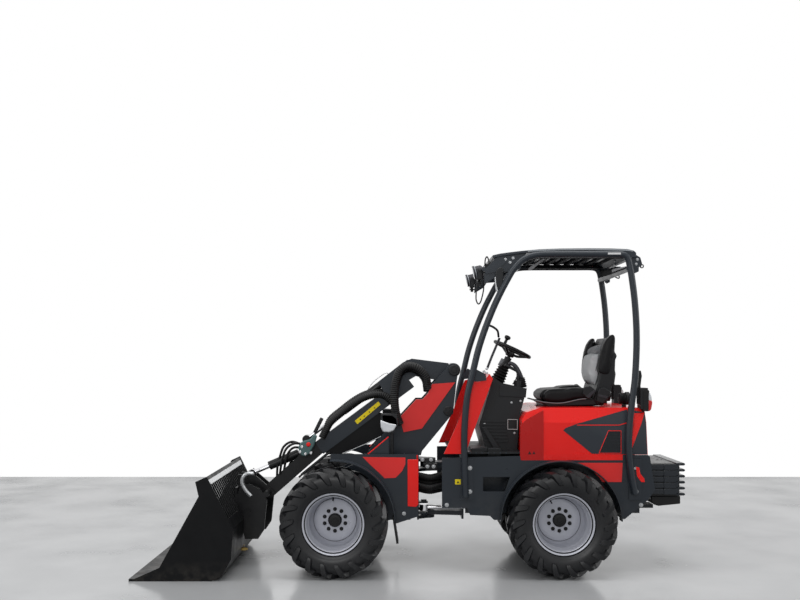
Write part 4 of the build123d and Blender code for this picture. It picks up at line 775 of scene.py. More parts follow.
@dataclass
class Wheels:
    """Detailed tyres and rims in place of the plain CAD ones."""

    radius: float = 0.368
    crown: float = 0.345
    crown_drop: float = 0.013
    half_width: float = 0.16
    lugs: int = 18
    lug_skew: float = 0.2625
    lug_root: float = 0.022
    nuts: int = 10
    nut_circle: float = 0.075
    places: dict[str, tuple[Body, float, float]] = field(default_factory=lambda: {
        "front_left": (Body.FRONT_LEFT, 0.54829, 0.48), "front_right": (Body.FRONT_RIGHT, 0.54829, -0.48),
        "rear_left": (Body.REAR_LEFT, -0.99771, 0.48), "rear_right": (Body.REAR_RIGHT, -0.99771, -0.48),
    })

    def build(self) -> None:
        """Builds all four wheels."""
        for name, (body, x, y) in self.places.items():
            self._tyre(name, body, x, y)
            self._rim(name, body, x, y, 1.0 if y > 0 else -1.0)
        LOG.info("built %d wheels", len(self.places))

    def carcass_radius(self, across: float) -> float:
        """Radius of the tyre's body between its lugs.

        Args:
            across: Distance from the tyre's middle plane.

        Returns:
            Radius in metres.
        """
        share = min(abs(across) / 0.15, 1.0)
        return self.crown - self.crown_drop * share ** 2.6

    def _tyre(self, name: str, body: Body, x: float, y: float) -> None:
        """Builds one tyre with chevron lugs.

        Args:
            name: Name of the wheel.
            body: Its body.
            x: Centre X.
            y: Centre Y.
        """
        draft = Draft()
        side = [
            (0.189, 0.106), (0.1925, 0.112), (0.212, 0.1135), (0.216, 0.126), (0.226, 0.1315),
            (0.229, 0.1318), (0.233, 0.135), (0.252, 0.141), (0.264, 0.1425), (0.28, 0.143),
            (0.3, 0.142), (0.314, 0.139), (0.323, 0.134),
        ]
        crown = [(self.carcass_radius(across), across) for across in (0.127, 0.11, 0.075, 0.038)]
        half = side + crown
        profile = half + [
            (self.carcass_radius(0.0), 0.0)
        ] + [(radius, -across) for radius, across in reversed(half)]
        draft.spun(profile, (x, y, self.radius), ACROSS, 96)
        pitch = 2 * math.pi / self.lugs
        for index in range(self.lugs):
            for half_sign in (1.0, -1.0):
                start = index * pitch + (0.0 if half_sign > 0 else pitch / 2)
                self._lug(draft, x, y, start, half_sign)
        tyre = draft.piece(name + "_tread_tyre", TYRE, body, smooth=38.0)
        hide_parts(name + "_tyre")

    def _lug(self, draft: Draft, x: float, y: float, start: float, half_sign: float) -> None:
        """Adds one curved lug from near the middle over the shoulder.

        Args:
            draft: Draft that takes it.
            x: Wheel centre X.
            y: Wheel centre Y.
            start: Angle of its inner end.
            half_sign: Which half of the tread it lies on.
        """
        stations = [
            (0.004, 0.0, 0.3675, 0.0155), (0.035, 0.055, 0.368, 0.0155), (0.07, 0.125, 0.3672, 0.016),
            (0.105, 0.205, 0.365, 0.0175), (0.135, 0.275, 0.36, 0.0195), (0.1545, 0.327, 0.348, 0.0205),
            (0.16, 0.362, 0.326, 0.02), (0.16, 0.394, 0.304, 0.0185), (0.159, 0.424, 0.284, 0.0155),
            (0.153, 0.446, 0.268, 0.011),
        ]
        rings = []
        for across, lead, top, half_width in stations:
            base = min(self.carcass_radius(across) - 0.006, top - 0.012)
            ring = []
            for radius, spread in ((base, 1.35), (top, 0.92), (top, -0.92), (base, -1.35)):
                turn = start + lead + spread * half_width / radius
                if across > 0.15 and radius == base:
                    out = across - self.lug_root
                else:
                    out = across - spread * half_width * self.lug_skew * (1.0 if across < 0.14 else 0.3)
                reach = y + half_sign * min(max(out, 0.0), self.half_width)
                height = self.radius + radius * math.sin(turn)
                ring.append(draft.mesh.verts.new((x + radius * math.cos(turn), reach, height)))
            rings.append(ring)
        draft.closed_skin(rings)

    def _rim(self, name: str, body: Body, x: float, y: float, outward: float) -> None:
        """Builds one rim with its disc, nuts, cap and valve.

        Args:
            name: Name of the wheel.
            body: Its body.
            x: Centre X.
            y: Centre Y.
            outward: 1 on the left side, -1 on the right.
        """
        origin = (x, y, self.radius)
        axis = (0.0, outward, 0.0)
        barrel = [
            (0.186, -0.118), (0.208, -0.12), (0.2095, -0.116), (0.206, -0.1125), (0.1895, -0.112),
            (0.189, -0.06), (0.176, -0.045), (0.176, 0.03), (0.189, 0.05), (0.1892, 0.106),
            (0.204, 0.1135), (0.2085, 0.115), (0.2098, 0.118), (0.208, 0.12), (0.204, 0.1195),
            (0.1985, 0.116), (0.195, 0.108), (0.1855, 0.104), (0.1825, 0.056), (0.18, 0.05),
            (0.17, 0.034), (0.169, -0.04), (0.156, -0.07), (0.152, -0.0735), (0.15, -0.079),
            (0.1475, -0.079), (0.144, -0.074), (0.125, -0.07), (0.105, -0.07), (0.06, -0.069),
            (0.047, -0.069), (0.046, -0.086), (0.15, -0.087), (0.186, -0.09), (0.186, -0.118),
        ]
        draft = Draft().spun(barrel, origin, axis, 80)
        rim = draft.piece(name + "_steel_rim", RIM, body, smooth=30.0)
        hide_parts(name + "_rim")
        dark = Draft()
        cap = [(0.047, -0.086), (0.047, -0.056), (0.044, -0.054), (0.044, -0.05), (0.04, -0.047),
               (0.02, -0.045), (0.019, -0.042), (0.0, -0.0415)]
        dark.spun(cap, origin, axis, 40)
        dark.spun([(0.1495, -0.0795), (0.148, -0.077), (0.1462, -0.0775), (0.1455, -0.08)], origin, axis, 80)
        for index in range(self.nuts):
            angle = 2 * math.pi * (index + 0.5) / self.nuts
            place = (
                x + self.nut_circle * math.cos(angle), y - outward * 0.07,
                self.radius + self.nut_circle * math.sin(angle),
            )
            dark.spun([(0.0, 0.0), (0.0135, 0.0), (0.0135, 0.004), (0.0, 0.004)], place, axis, 18)
            dark.spun([(0.0105, 0.0), (0.0105, 0.016), (0.008, 0.019), (0.0, 0.019)], place, axis, 6)
            dark.spun([(0.0055, 0.0), (0.0055, 0.026), (0.0, 0.027)], place, axis, 12)
        turn = math.radians(62 if name.startswith("rear") else 88)
        stem = []
        for reach, out in ((0.172, 0.02), (0.15, 0.05)):
            height = self.radius + reach * math.sin(turn)
            stem.append((x + reach * math.cos(turn), y + outward * out, height))
        dark.rod(*stem, 0.005, 10)
        dark.piece(name + "_nuts", BLACK, body, smooth=30.0)


def even_run(points: Sequence[Point], spacing: float) -> list[Vector]:
    """Threads a smooth curve through points and samples it evenly.

    Args:
        points: Points that the curve passes through.
        spacing: Distance between samples in metres.

    Returns:
        Evenly spaced points along the curve.
    """
    fine = smooth_run(points, 24)
    run = [fine[0]]
    carried = 0.0
    for start, end in zip(fine, fine[1:]):
        length = (end - start).length
        while carried + length >= spacing and length > 0.0:
            share = (spacing - carried) / length
            start = start.lerp(end, share)
            run.append(start.copy())
            length = (end - start).length
            carried = 0.0
        carried += length
    if (fine[-1] - run[-1]).length > spacing * 0.3:
        run.append(fine[-1])
    return run


def sleeve(
    draft: Draft, points: Sequence[Point], radius: float, pitch: float = 0.011, depth: float = 0.1,
) -> None:
    """Adds a ribbed protective sleeve along points.

    Args:
        draft: Draft that takes it.
        points: Points that it passes through.
        radius: Its middle radius.
        pitch: Distance between ribs.
        depth: Height of the ribs as a share of the radius.
    """
    run = even_run(points, pitch / 4)
    radii = [radius * (1.0 + depth * math.cos(math.pi / 2 * index)) for index in range(len(run))]
    draft.tube(run, radii, 14)


def bellows(draft: Draft, start: Point, end: Point, radii: Flat, ribs: int) -> None:
    """Adds a ribbed boot between two points.

    Args:
        draft: Draft that takes it.
        start: Middle of its foot.
        end: Middle of its top.
        radii: Radius at the foot and at the top.
        ribs: Number of ribs.
    """
    axis = Vector(end) - Vector(start)
    count = ribs * 4
    profile = [(0.0, 0.0)]
    for index in range(count + 1):
        share = index / count
        base = radii[0] + (radii[1] - radii[0]) * share
        profile.append((base * (1.0 + 0.13 * math.cos(math.pi * index / 2)), axis.length * share))
    profile.append((0.0, axis.length))
    draft.spun(profile, start, tuple(axis.normalized()), 36)


@dataclass
class HoodPanels:
    """Paint films, vent, labels and bolts on the rear body."""

    half: float = 0.435
    crease: float = 1.04
    lean: float = 0.4
    plate: float = 0.44
    film: float = 0.0014
    vent_rows: int = 15
    vent_columns: int = 12

    def build(self) -> None:
        """Adds every panel of the rear body."""
        self._films()
        self._vent()
        self._labels()
        self._bolts()
        self._tow_hook()
        LOG.info("rear body panels are on")

    def skin(self, z: float) -> float:
        """Y of the hood's side at a height.

        Args:
            z: Height in metres.

        Returns:
            Y of the painted side.
        """
        return self.half - max(z - self.crease, 0.0) * self.lean

    def _film(self, name: str, places: Sequence[Flat], finish: Finish, lift: float = 0.0) -> None:
        """Lays one flat film over both sides of the hood, folded at the crease.

        Args:
            name: The piece's name.
            places: Outline in pixels.
            finish: Its finish.
            lift: How far above the paint it lies.
        """
        draft = Draft()
        outline = PHOTO.trace(places, self.half)
        draft.mesh.faces.new([draft.mesh.verts.new((x, 0.0, z)) for x, z in outline])
        everything = draft.mesh.verts[:] + draft.mesh.edges[:] + draft.mesh.faces[:]
        bmesh.ops.bisect_plane(draft.mesh, geom=everything, plane_co=(0, 0, self.crease), plane_no=(0, 0, 1))
        for vert in draft.mesh.verts:
            vert.co.y = self.skin(vert.co.z) - SINK
        grown = bmesh.ops.extrude_face_region(draft.mesh, geom=draft.mesh.faces[:])
        for item in grown["geom"]:
            if isinstance(item, bmesh.types.BMVert):
                item.co.y = self.skin(item.co.z) + self.film + lift
        draft.mirrored().piece(name, finish)

    def _films(self) -> None:
        """Lays the dark and red films, and the darker red film that paints shade on the hood's front facet.
        """
        self._film("hood_dark_film", [
            (628.5, 409.6), (577.6, 423.6), (565.5, 428.0), (563.3, 430.5), (591.8, 453.6), (628.5, 454.4),
        ], DECAL_DARK)
        self._film(
            "hood_rear_dark_film", [(635.6, 410.8), (645.6, 412.6), (647.4, 454.4), (629.5, 454.4)],
            DECAL_DARK,
        )
        self._film(
            "hood_red_flash", [(635.3, 413.5), (645.3, 412.8), (631.5, 449.5), (630.5, 449.5)], RED, 0.0014,
        )
        half, plate = self.half, self.plate
        pinstripe = [(577, 424.6), (619, 424.6), (626.5, 422.4), (626.5, 423.4), (619.2, 425.5), (577, 425.5)]
        draft = Draft().plate(pinstripe, half, half + 0.001, half + 0.0032)
        draft.mirrored().piece("hood_red_pinstripe", RED)
        side_panel = [
            (577.4, 462.8), (622.6, 462.8), (621.6, 482.0), (602.5, 482.0), (600.0, 478.5), (594.0, 471.8),
            (588.0, 467.2), (581.5, 463.8),
        ]
        Draft().film(side_panel, plate, 0.0016).mirrored().piece("side_red_panel", PANEL_RED)
        skirt = [(520.4, 454.2), (622.6, 454.2), (622.6, 460.2), (521.6, 460.2)]
        Draft().film(skirt, plate, 0.001).mirrored().piece("hood_skirt", RED)
        # Painted shade: a darker red film over the hood's front facet, which faces away from the light.
        painted_shade_outline = [
            (543.4, 410.2), (527.0, 419.4), (520.6, 425.0), (520.0, 455.0), (520.8, 460.0), (543.6, 460.0),
        ]
        draft = Draft().plate(painted_shade_outline, plate, half - SINK, plate + 0.0014)
        draft.mirrored().piece("hood_front_painted_shade", PAINTED_SHADE_RED)

    def _vent(self) -> None:
        """Adds the slanted vent with its mesh and its red frame."""
        y = self.half
        outline = PHOTO.trace([(608.4, 430.8), (621.0, 430.8), (621.0, 453.2), (599.0, 453.2)], y)
        Draft().edging(outline, y + 0.0015, 0.0028, 8).mirrored().piece("hood_vent_frame", RED)
        mesh = Draft()
        low = min(z for _, z in outline)
        high = max(z for _, z in outline)
        top, right, foot = outline[0][0], outline[1][0], outline[3][0]
        for index in range(1, self.vent_rows):
            share = index / self.vent_rows
            z = low + (high - low) * share
            mesh.box((right, y + 0.0012, z - 0.0022), (foot + (top - foot) * share, y + 0.004, z + 0.0022))
        for index in range(1, self.vent_columns):
            share = index / self.vent_columns
            start, end = foot + (right - foot) * share, top + (right - top) * share
            mesh.rod((start, y + 0.002, low), (end, y + 0.002, high), 0.0012, 6)
        mesh.mirrored().piece("hood_vent_mesh", PLASTIC)

    def _labels(self) -> None:
        """Adds the blank labels that the photograph shows."""
        yellow = Draft()
        for left, top, right, low in ((526.8, 447.4, 536.8, 456.4), (455.0, 479.3, 460.6, 484.4)):
            yellow.film([(left, top), (right, top), (right, low), (left, low)], self.plate, 0.0012)
        yellow.piece("side_yellow_labels", YELLOW)
        marks = Draft()
        for column, row, size in ((529.6, 452.6, 1.7), (533.9, 452.6, 1.5), (458.0, 482.0, 1.3)):
            triangle = [(column, row - size), (column + size, row + size), (column - size, row + size)]
            marks.plate(triangle, self.plate, self.plate + 0.0008, self.plate + 0.0018)
        marks.piece("label_marks", BLACK)
        pale = Draft()
        for column, row in ((540.3, 442.5), (540.6, 445.8), (540.2, 453.5), (542.4, 457.4)):
            pale.film(
                [(column, row), (column + 2.2, row - 0.6), (column + 2.0, row + 1.6)], self.half, 0.0018,
            )
        pale.piece("side_small_marks", WHITE_LABEL)

    def _bolts(self) -> None:
        """Adds the bolts of the side plates."""
        places = [
            (470.3, 468.2), (470.3, 491.3), (634.6, 468.4), (636.2, 491.8), (446.8, 505.0), (641.0, 505.0),
        ]
        Draft().bolts(places, self.plate, 0.0095).mirrored().piece("side_plate_bolts", GALVANISED)
        studs = [(470 + index * 6.0, 452.8) for index in range(7)]
        draft = Draft().pegs(studs, 0.42, 0.395, 0.436, 0.006, 10)
        draft.mirrored().piece("platform_grip_studs", ANTHRACITE)

    def _tow_hook(self) -> None:
        """Adds the red towing eye behind the near post."""
        hook = [
            (635.5, 466.5), (639.0, 467.5), (640.0, 473.5), (644.0, 478.5), (644.6, 482.0), (641.0, 482.0),
            (636.5, 476.0),
        ]
        Draft().plate(hook, 0.442, 0.4405, 0.4525).piece("towing_hook", RED, bevel=0.002)


@dataclass
class OperatorPlace:
    """Fittings of the dash, column, joystick and pedals."""

    side: float = 0.3
    column: Point = (-0.4229, 0.0, 0.9062)
    rim_centre: Point = (-0.7229, 0.0, 1.5472)
    rim_radius: float = 0.137
    knob_turn: float = 55.0

    def build(self) -> None:
        """Adds every fitting."""
        self._console()
        self._boots()
        self._wheel()
        self._pedal()
        self._rods()
        LOG.info("operator's place is fitted")

    def _console(self) -> None:
        """Adds louvres, seams, screws and the framed label on the console."""
        louvres = Draft()
        for index in range(7):
            row = 420.5 + index * 3.3
            left = 482.5 + index * 0.4
            right = 505.5 + index * 0.5
            louvres.film(
                [(left, row), (right, row + 0.4), (right, row + 1.9), (left, row + 1.5)], self.side, 0.006,
            )
        louvres.mirrored().piece("console_louvres", PLASTIC, bevel=0.0015)
        Draft().film(
            [(499.6, 384.6), (526.6, 389.4), (525.8, 397.6), (499.0, 396.0)], self.side, 0.005,
        ).mirrored().piece("console_lid_edge", PLASTIC, bevel=0.002)
        screws = Draft()
        head = [(0.0, 0.0), (0.008, 0.0), (0.007, 0.004), (0.0, 0.005)]
        for x, z in PHOTO.trace([(511.5, 402.5), (520.5, 401.0), (514.5, 433.0), (484.5, 424.0)], self.side):
            screws.spun(head, (x, self.side, z), ACROSS, 16)
        screws.mirrored().piece("console_screws", GALVANISED)
        label = [(507.8, 419.4), (517.4, 419.6), (517.2, 429.4), (507.8, 429.2)]
        Draft().film(label, self.side, 0.0012).piece("console_label", BLACK)
        draft = Draft().edging(PHOTO.trace(label, self.side), self.side + 0.0014, 0.0016, 6)
        draft.piece("console_label_frame", WHITE_LABEL)
        strip = [(499.4, 386.4), (502.2, 387.6), (484.6, 424.6), (480.2, 423.6)]
        Draft().film(strip, self.side, 0.0014).piece("console_edge_strip", BLACK)

    def _boots(self) -> None:
        """Adds the ribbed boots of the column and the joystick."""
        draft = Draft()
        for foot, top, y, radii, ribs in (
            ((497.2, 381.6), (504.4, 366.2), 0.0, (0.052, 0.038), 6),
            ((522.4, 387.4), (521.8, 377.6), 0.25, (0.032, 0.02), 5),
        ):
            start, end = PHOTO.route([(*foot, y), (*top, y)])
            bellows(draft, start, end, radii, ribs)
        draft.piece("rubber_boots", RUBBER, smooth=60.0)
        Draft().curve([
            (521.8, 378.4, 0.25), (519.2, 372.2, 0.25), (516.0, 366.8, 0.24), (512.2, 363.9, 0.22),
            (508.4, 363.6, 0.2),
        ], 8, [0.0145] * 25 + [0.0145, 0.015, 0.0155, 0.0155, 0.015, 0.012, 0.009, 0.004], 18).piece(
            "joystick_grip", LAMP_BLACK, smooth=60.0,
        )
        draft = Draft().bar([(499.4, 365.6), (503.2, 358.8)], 0.05, 0.014, 18, 0.003)
        draft.piece("column_switch", SEAT_GREY, smooth=60.0)
        ends = [(512.6, 384.4), (516.2, 378.8)]
        start, end = (Vector(point) for point in PHOTO.route([(*place, 0.16) for place in ends]))
        knob = [(0.0, 0.0), (0.007, 0.002), (0.008, 0.016), (0.004, 0.022), (0.0, 0.022)]
        lever = Draft().bar(ends, 0.16, 0.004, 10).spun(
            knob, tuple(end), tuple((end - start).normalized()), 16,
        )
        lever.piece("throttle_lever", PLASTIC)

    def _wheel(self) -> None:
        """Builds the steering wheel: rim, dished spokes, hub and knob."""
        up = Vector(self.column).normalized()
        across = Vector(ACROSS)
        ahead = across.cross(up).normalized()
        centre = Vector(self.rim_centre)

        def on_rim(degrees: float, radius: float, lift: float) -> Vector:
            """Finds a point round the wheel.

            Args:
                degrees: Angle from the front of the wheel.
                radius: Distance from the wheel's axis.
                lift: Height over the rim's plane.

            Returns:
                The point.
            """
            turn = math.radians(degrees)
            return centre + (ahead * math.cos(turn) + across * math.sin(turn)) * radius + up * lift

        rim = Draft()
        rim.tube([tuple(on_rim(step * 7.5, self.rim_radius, 0.0)) for step in range(49)], 0.0122, 16)
        for degrees in (60.0, 180.0, 300.0):
            spoke = [tuple(on_rim(degrees, share, lift)) for share, lift in (
                (0.02, -0.034), (0.055, -0.032), (0.1, -0.014), (0.134, 0.0),
            )]
            rim.tube(smooth_run(spoke, 6), 0.0095, 12)
        rim.spun(
            [(0.0, -0.056), (0.026, -0.056), (0.033, -0.05), (0.033, -0.03), (0.028, -0.02), (0.0, -0.018)],
            tuple(centre), tuple(up), 32,
        )
        foot = on_rim(self.knob_turn, self.rim_radius, 0.0)
        rim.spun([
            (0.0, 0.0), (0.013, 0.0), (0.011, 0.018), (0.01, 0.04), (0.019, 0.046), (0.023, 0.054),
            (0.022, 0.064), (0.014, 0.07), (0.0, 0.072),
        ], tuple(foot), tuple(up), 28)
        wheel = rim.piece("steering_wheel_rim", WHEEL_BLACK, Body.STEERING, smooth=55.0)
        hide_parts("steering_wheel")

    def _pedal(self) -> None:
        """Adds the pedal and its bracket beside the console."""
        draft = Draft()
        draft.plate(
            [(481.5, 427.5), (485.5, 427.0), (499.0, 446.0), (499.4, 455.0), (493.4, 455.0), (493.6, 448.5)],
            0.33, 0.318, 0.346,
        )
        draft.plate([(487.4, 447.6), (500.6, 447.6), (500.6, 455.4), (487.4, 455.4)], 0.36, 0.33, 0.4)
        draft.plate([(470.6, 448.0), (487.0, 446.4), (487.4, 450.6), (470.6, 453.6)], 0.36, 0.18, 0.4)
        draft.piece("pedal_and_bracket", PLASTIC, bevel=0.004)

    def _rods(self) -> None:
        """Adds the bent tube and the slim braided rod by the near post."""
        Draft().curve([
            (489.2, 325.2, 0.415), (494.0, 327.6, 0.4), (497.6, 331.0, 0.38), (498.6, 337.0, 0.36),
        ], 8, 0.0075, 12).piece("bent_stay", PLASTIC, smooth=60.0)
        braid = Draft()
        sleeve(braid, PHOTO.route([
            (499.6, 338.0, 0.36), (495.4, 348.0, 0.36), (491.2, 358.0, 0.36), (487.4, 368.0, 0.35),
        ]), 0.0085, 0.008, 0.16)
        braid.piece("braided_rod", LAMP_BLACK, smooth=50.0)
        fittings = Draft()
        for column, row, y in (
            (486.8, 368.8, 0.35), (484.0, 371.4, 0.36), (482.2, 373.6, 0.36), (486.6, 373.0, 0.36),
        ):
            x, z = PHOTO.spot(column, row, y)
            fittings.rod((x, y - 0.02, z), (x, y + 0.02, z), 0.009, 14, 0.002)
        fittings.piece("rod_fittings", GALVANISED)


@dataclass
class Seat:
    """Padded cushion, backrest, shell, hinge boxes and rails."""

    half: float = 0.255
    hinge: float = 0.262

    def build(self) -> None:
        """Builds the whole seat."""
        self._cushion()
        self._back()
        self._frame()
        LOG.info("seat is built")

    def _pad(
        self, name: str, outline: Sequence[Flat], halves: Flat, finish: Finish, move: float,
    ) -> bpy.types.Object:
        """Builds a crowned pad from a side outline and its half widths.

        Args:
            name: The piece's name.
            outline: Closed side outline in metres.
            halves: Inner and outer Y of the pad.
            finish: Its finish.
            move: Furthest that a point may swell.

        Returns:
            The pad.
        """
        pad = Draft().prism(outline, *halves).piece(name, finish)
        inflate(pad, 0.01, move)
        return pad

    def _cushion(self) -> None:
        """Builds the cushion with its crowned top and welt."""
        side = PHOTO.trace([
            (543.6, 400.6), (543.4, 395.0), (545.4, 391.8), (549.0, 390.8), (560.0, 390.2), (572.0, 389.4),
            (583.0, 389.2), (590.0, 389.6), (590.5, 395.0), (588.5, 399.4), (581.0, 398.8), (574.0, 400.0),
            (565.0, 401.6), (556.0, 402.2),
        ], 0.25)
        nose = PHOTO.trace([
            (534.6, 395.4), (535.2, 392.2), (538.4, 390.2), (552.0, 389.6), (552.0, 400.6), (541.0, 400.4),
            (536.4, 398.8),
        ], 0.0)
        draft = Draft()
        draft.prism(side, -self.half + 0.005, self.half - 0.005)
        draft.prism(nose, -0.18, 0.18)
        pad = draft.piece("cushion_pad", LEATHER)
        inflate(pad, 0.009, 0.01)
        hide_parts("seat_cushion")
        centre = PHOTO.trace([
            (553.0, 389.0), (558.0, 386.8), (566.0, 386.0), (576.0, 385.6), (579.0, 387.0), (579.0, 391.0),
            (553.0, 391.4),
        ], 0.0)
        self._pad("cushion_centre", centre, (-0.13, 0.13), LEATHER, 0.006)
        welt = Draft()
        ring = []
        low = PHOTO.trace([
            (586.0, 398.8), (581.0, 399.2), (574.0, 400.6), (565.0, 402.6), (556.0, 403.2), (544.0, 402.2),
            (538.6, 401.0),
        ], 0.252)
        for x, z in low:
            ring.append((x, self.half - 0.003, z))
        ring.append((low[-1][0] + 0.016, self.half - 0.05, low[-1][1]))
        ring.append((low[-1][0] + 0.02, 0.0, low[-1][1] + 0.002))
        ring += [(x, -y, z) for x, y, z in ring[-2::-1]]
        welt.tube(smooth_run(ring, 8), 0.0034, 8)
        welt.piece("cushion_welt", SEAT_GREY, smooth=60.0)
        pan = PHOTO.trace([
            (541.0, 401.4), (556.0, 402.4), (574.0, 400.0), (586.0, 398.6), (604.0, 399.0), (604.0, 404.8),
            (548.0, 406.4), (543.0, 404.0),
        ], 0.22)
        Draft().prism(pan, -0.225, 0.225).piece("seat_pan", PLASTIC, bevel=0.006)

    def _back(self) -> None:
        """Builds the backrest: grey centre, side bolsters, black shell and grey tubes that paint the
        highlight on the bolsters' front edges.
        """
        upper = PHOTO.trace(
            [(598.6, 345.6), (604.4, 345.8), (603.0, 353.4), (591.0, 354.8), (590.2, 350.8), (593.4, 347.8)],
            0.0,
        )
        self._pad("backrest_upper", upper, (-0.14, 0.14), SEAT_GREY, 0.006)
        lower = PHOTO.trace([
            (588.0, 355.0), (602.0, 352.8), (600.4, 368.0), (597.4, 384.0), (592.0, 386.4), (588.0, 382.6),
            (585.4, 376.0), (585.6, 367.0),
        ], 0.0)
        self._pad("backrest_lower", lower, (-0.15, 0.15), SEAT_PALE, 0.01)
        shell_outline = PHOTO.trace([
            (611.0, 337.0), (615.0, 338.0), (615.2, 344.0), (614.8, 352.0), (617.0, 354.8), (617.0, 356.6),
            (615.6, 360.0), (615.2, 371.0), (614.2, 384.8), (611.8, 386.2), (611.4, 391.2), (608.6, 398.8),
            (603.6, 404.6), (597.0, 405.0), (593.6, 400.0), (596.6, 388.0), (599.4, 378.0), (602.4, 362.0),
            (606.0, 346.0),
        ], 0.235)
        shell = Draft().prism(shell_outline, -0.235, 0.235).piece("backrest_shell", PLASTIC, bevel=0.01)
        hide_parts("seat_back")
        near = [
            (609.6, 335.6), (612.5, 333.8), (614.8, 337.2), (614.4, 344.0), (613.0, 354.0), (611.0, 366.0),
            (608.6, 374.0), (602.6, 374.8), (597.4, 372.2), (598.0, 366.0), (601.0, 354.0), (603.0, 344.0),
            (605.8, 339.0),
        ]
        far = [
            (592.8, 337.2), (593.9, 339.2), (594.6, 345.0), (594.6, 360.0), (592.0, 376.0), (586.0, 378.0),
            (581.4, 374.0), (582.0, 365.0), (583.0, 358.7), (583.9, 351.7), (586.0, 344.9), (589.2, 340.0),
        ]
        for side, label, places in ((1.0, "left", near), (-1.0, "right", far)):
            y_from, y_to = sorted((side * 0.16, side * 0.246))
            self._pad(
                f"backrest_bolster_{label}", PHOTO.trace(places, side * 0.21), (y_from, y_to), LEATHER,
                0.005,
            )
        # Painted highlight: grey tubes along the bolsters' front edges stand in for the light on them.
        lit_edge_line = PHOTO.trace([(605.4, 339.2), (602.6, 344.6), (600.4, 354.2), (597.0, 370.8)], 0.21)
        lit_edge = Draft()
        for side in (1.0, -1.0):
            lit_edge.tube(smooth_run([(x, side * 0.162, z) for x, z in lit_edge_line], 8), 0.0036, 8)
        lit_edge.piece("bolster_edge_highlight", SEAT_GREY, smooth=60.0)

    def _frame(self) -> None:
        """Builds the hinge boxes, their knobs and the rails."""
        boxes = Draft()
        bands = Draft()
        for places in ([(584.3, 387.4), (590.2, 385.8), (596.6, 390.8), (589.0, 399.4), (582.8, 394.4)], [
            (599.4, 388.8), (603.6, 387.4), (611.0, 391.4), (608.2, 398.4), (603.0, 404.0), (596.6, 401.4),
            (597.6, 394.0),
        ]):
            boxes.plate(places, 0.26, self.hinge - 0.04, self.hinge)
        for places in ([(585.6, 396.4), (594.6, 389.2), (596.2, 390.6), (588.4, 398.4)], [
            (598.4, 394.4), (608.0, 396.2), (607.0, 398.6), (598.0, 396.4),
        ]):
            bands.plate(places, 0.26, self.hinge - SINK, self.hinge + 0.0025)
        boxes.mirrored().piece("seat_hinge_boxes", PLASTIC, bevel=0.005)
        bands.mirrored().piece("seat_hinge_bands", LAMP_BLACK, bevel=0.001)
        rails = Draft()
        for row, depth in ((404.6, 0.17), (406.8, 0.19)):
            (right, z), (left, _) = PHOTO.trace([(548.0, row), (603.0, row)], 0.18)
            rails.box((left, depth - 0.02, z - 0.006), (right, depth, z + 0.006))
        rails.mirrored().piece("seat_rails", BLACK, bevel=0.0015)
        strip = Draft()
        x, z = PHOTO.spot(594.6, 407.2, 0.192)
        strip.box((x - 0.018, 0.186, z - 0.003), (x + 0.018, 0.192, z + 0.003))
        strip.mirrored().piece("seat_rail_ends", STEEL)
        Draft().curve([
            (549.0, 405.6, 0.2), (544.0, 405.6, 0.21), (539.6, 405.0, 0.21), (535.8, 405.8, 0.21),
        ], 8, 0.005, 10).piece("seat_slide_lever", PLASTIC)


def inflate(obj: bpy.types.Object, voxel: float, limit: float) -> None:
    """Swells a closed mesh like stuffed fabric and keeps the result.

    Args:
        obj: The pad.
        voxel: Size of its mesh cells.
        limit: Furthest that a point may move.
    """
    remesh = obj.modifiers.new("even_cells", "REMESH")
    remesh.mode = "VOXEL"
    remesh.voxel_size = voxel
    remesh.use_smooth_shade = True
    smooth = obj.modifiers.new("round_corners", "SMOOTH")
    smooth.iterations = 10
    smooth.factor = 0.5
    bake(obj)
    start = [vert.co.copy() for vert in obj.data.vertices]
    cloth = obj.modifiers.new("stuffing", "CLOTH")
    cloth.settings.use_pressure = True
    cloth.settings.uniform_pressure_force = 4.0
    cloth.settings.tension_stiffness = 15.0
    cloth.settings.compression_stiffness = 15.0
    cloth.settings.bending_stiffness = 0.5
    cloth.settings.effector_weights.gravity = 0.0
    cloth.point_cache.frame_start = 1
    cloth.point_cache.frame_end = 14
    for frame_number in range(1, 15):
        bpy.context.scene.frame_set(frame_number)
    bake(obj)
    bpy.context.scene.frame_set(1)
    for vert, before in zip(obj.data.vertices, start):
        step = vert.co - before
        if step.length > limit:
            vert.co = before + step.normalized() * limit
    finer = obj.modifiers.new("finer", "SUBSURF")
    finer.levels = 1
    finer.render_levels = 1
    obj.data.shade_smooth()


def bake(obj: bpy.types.Object) -> None:
    """Replaces an object's mesh with what its modifiers give.

    Args:
        obj: The object.
    """
    graph = bpy.context.evaluated_depsgraph_get()
    data = bpy.data.meshes.new_from_object(obj.evaluated_get(graph), depsgraph=graph)
    obj.modifiers.clear()
    obj.data = data


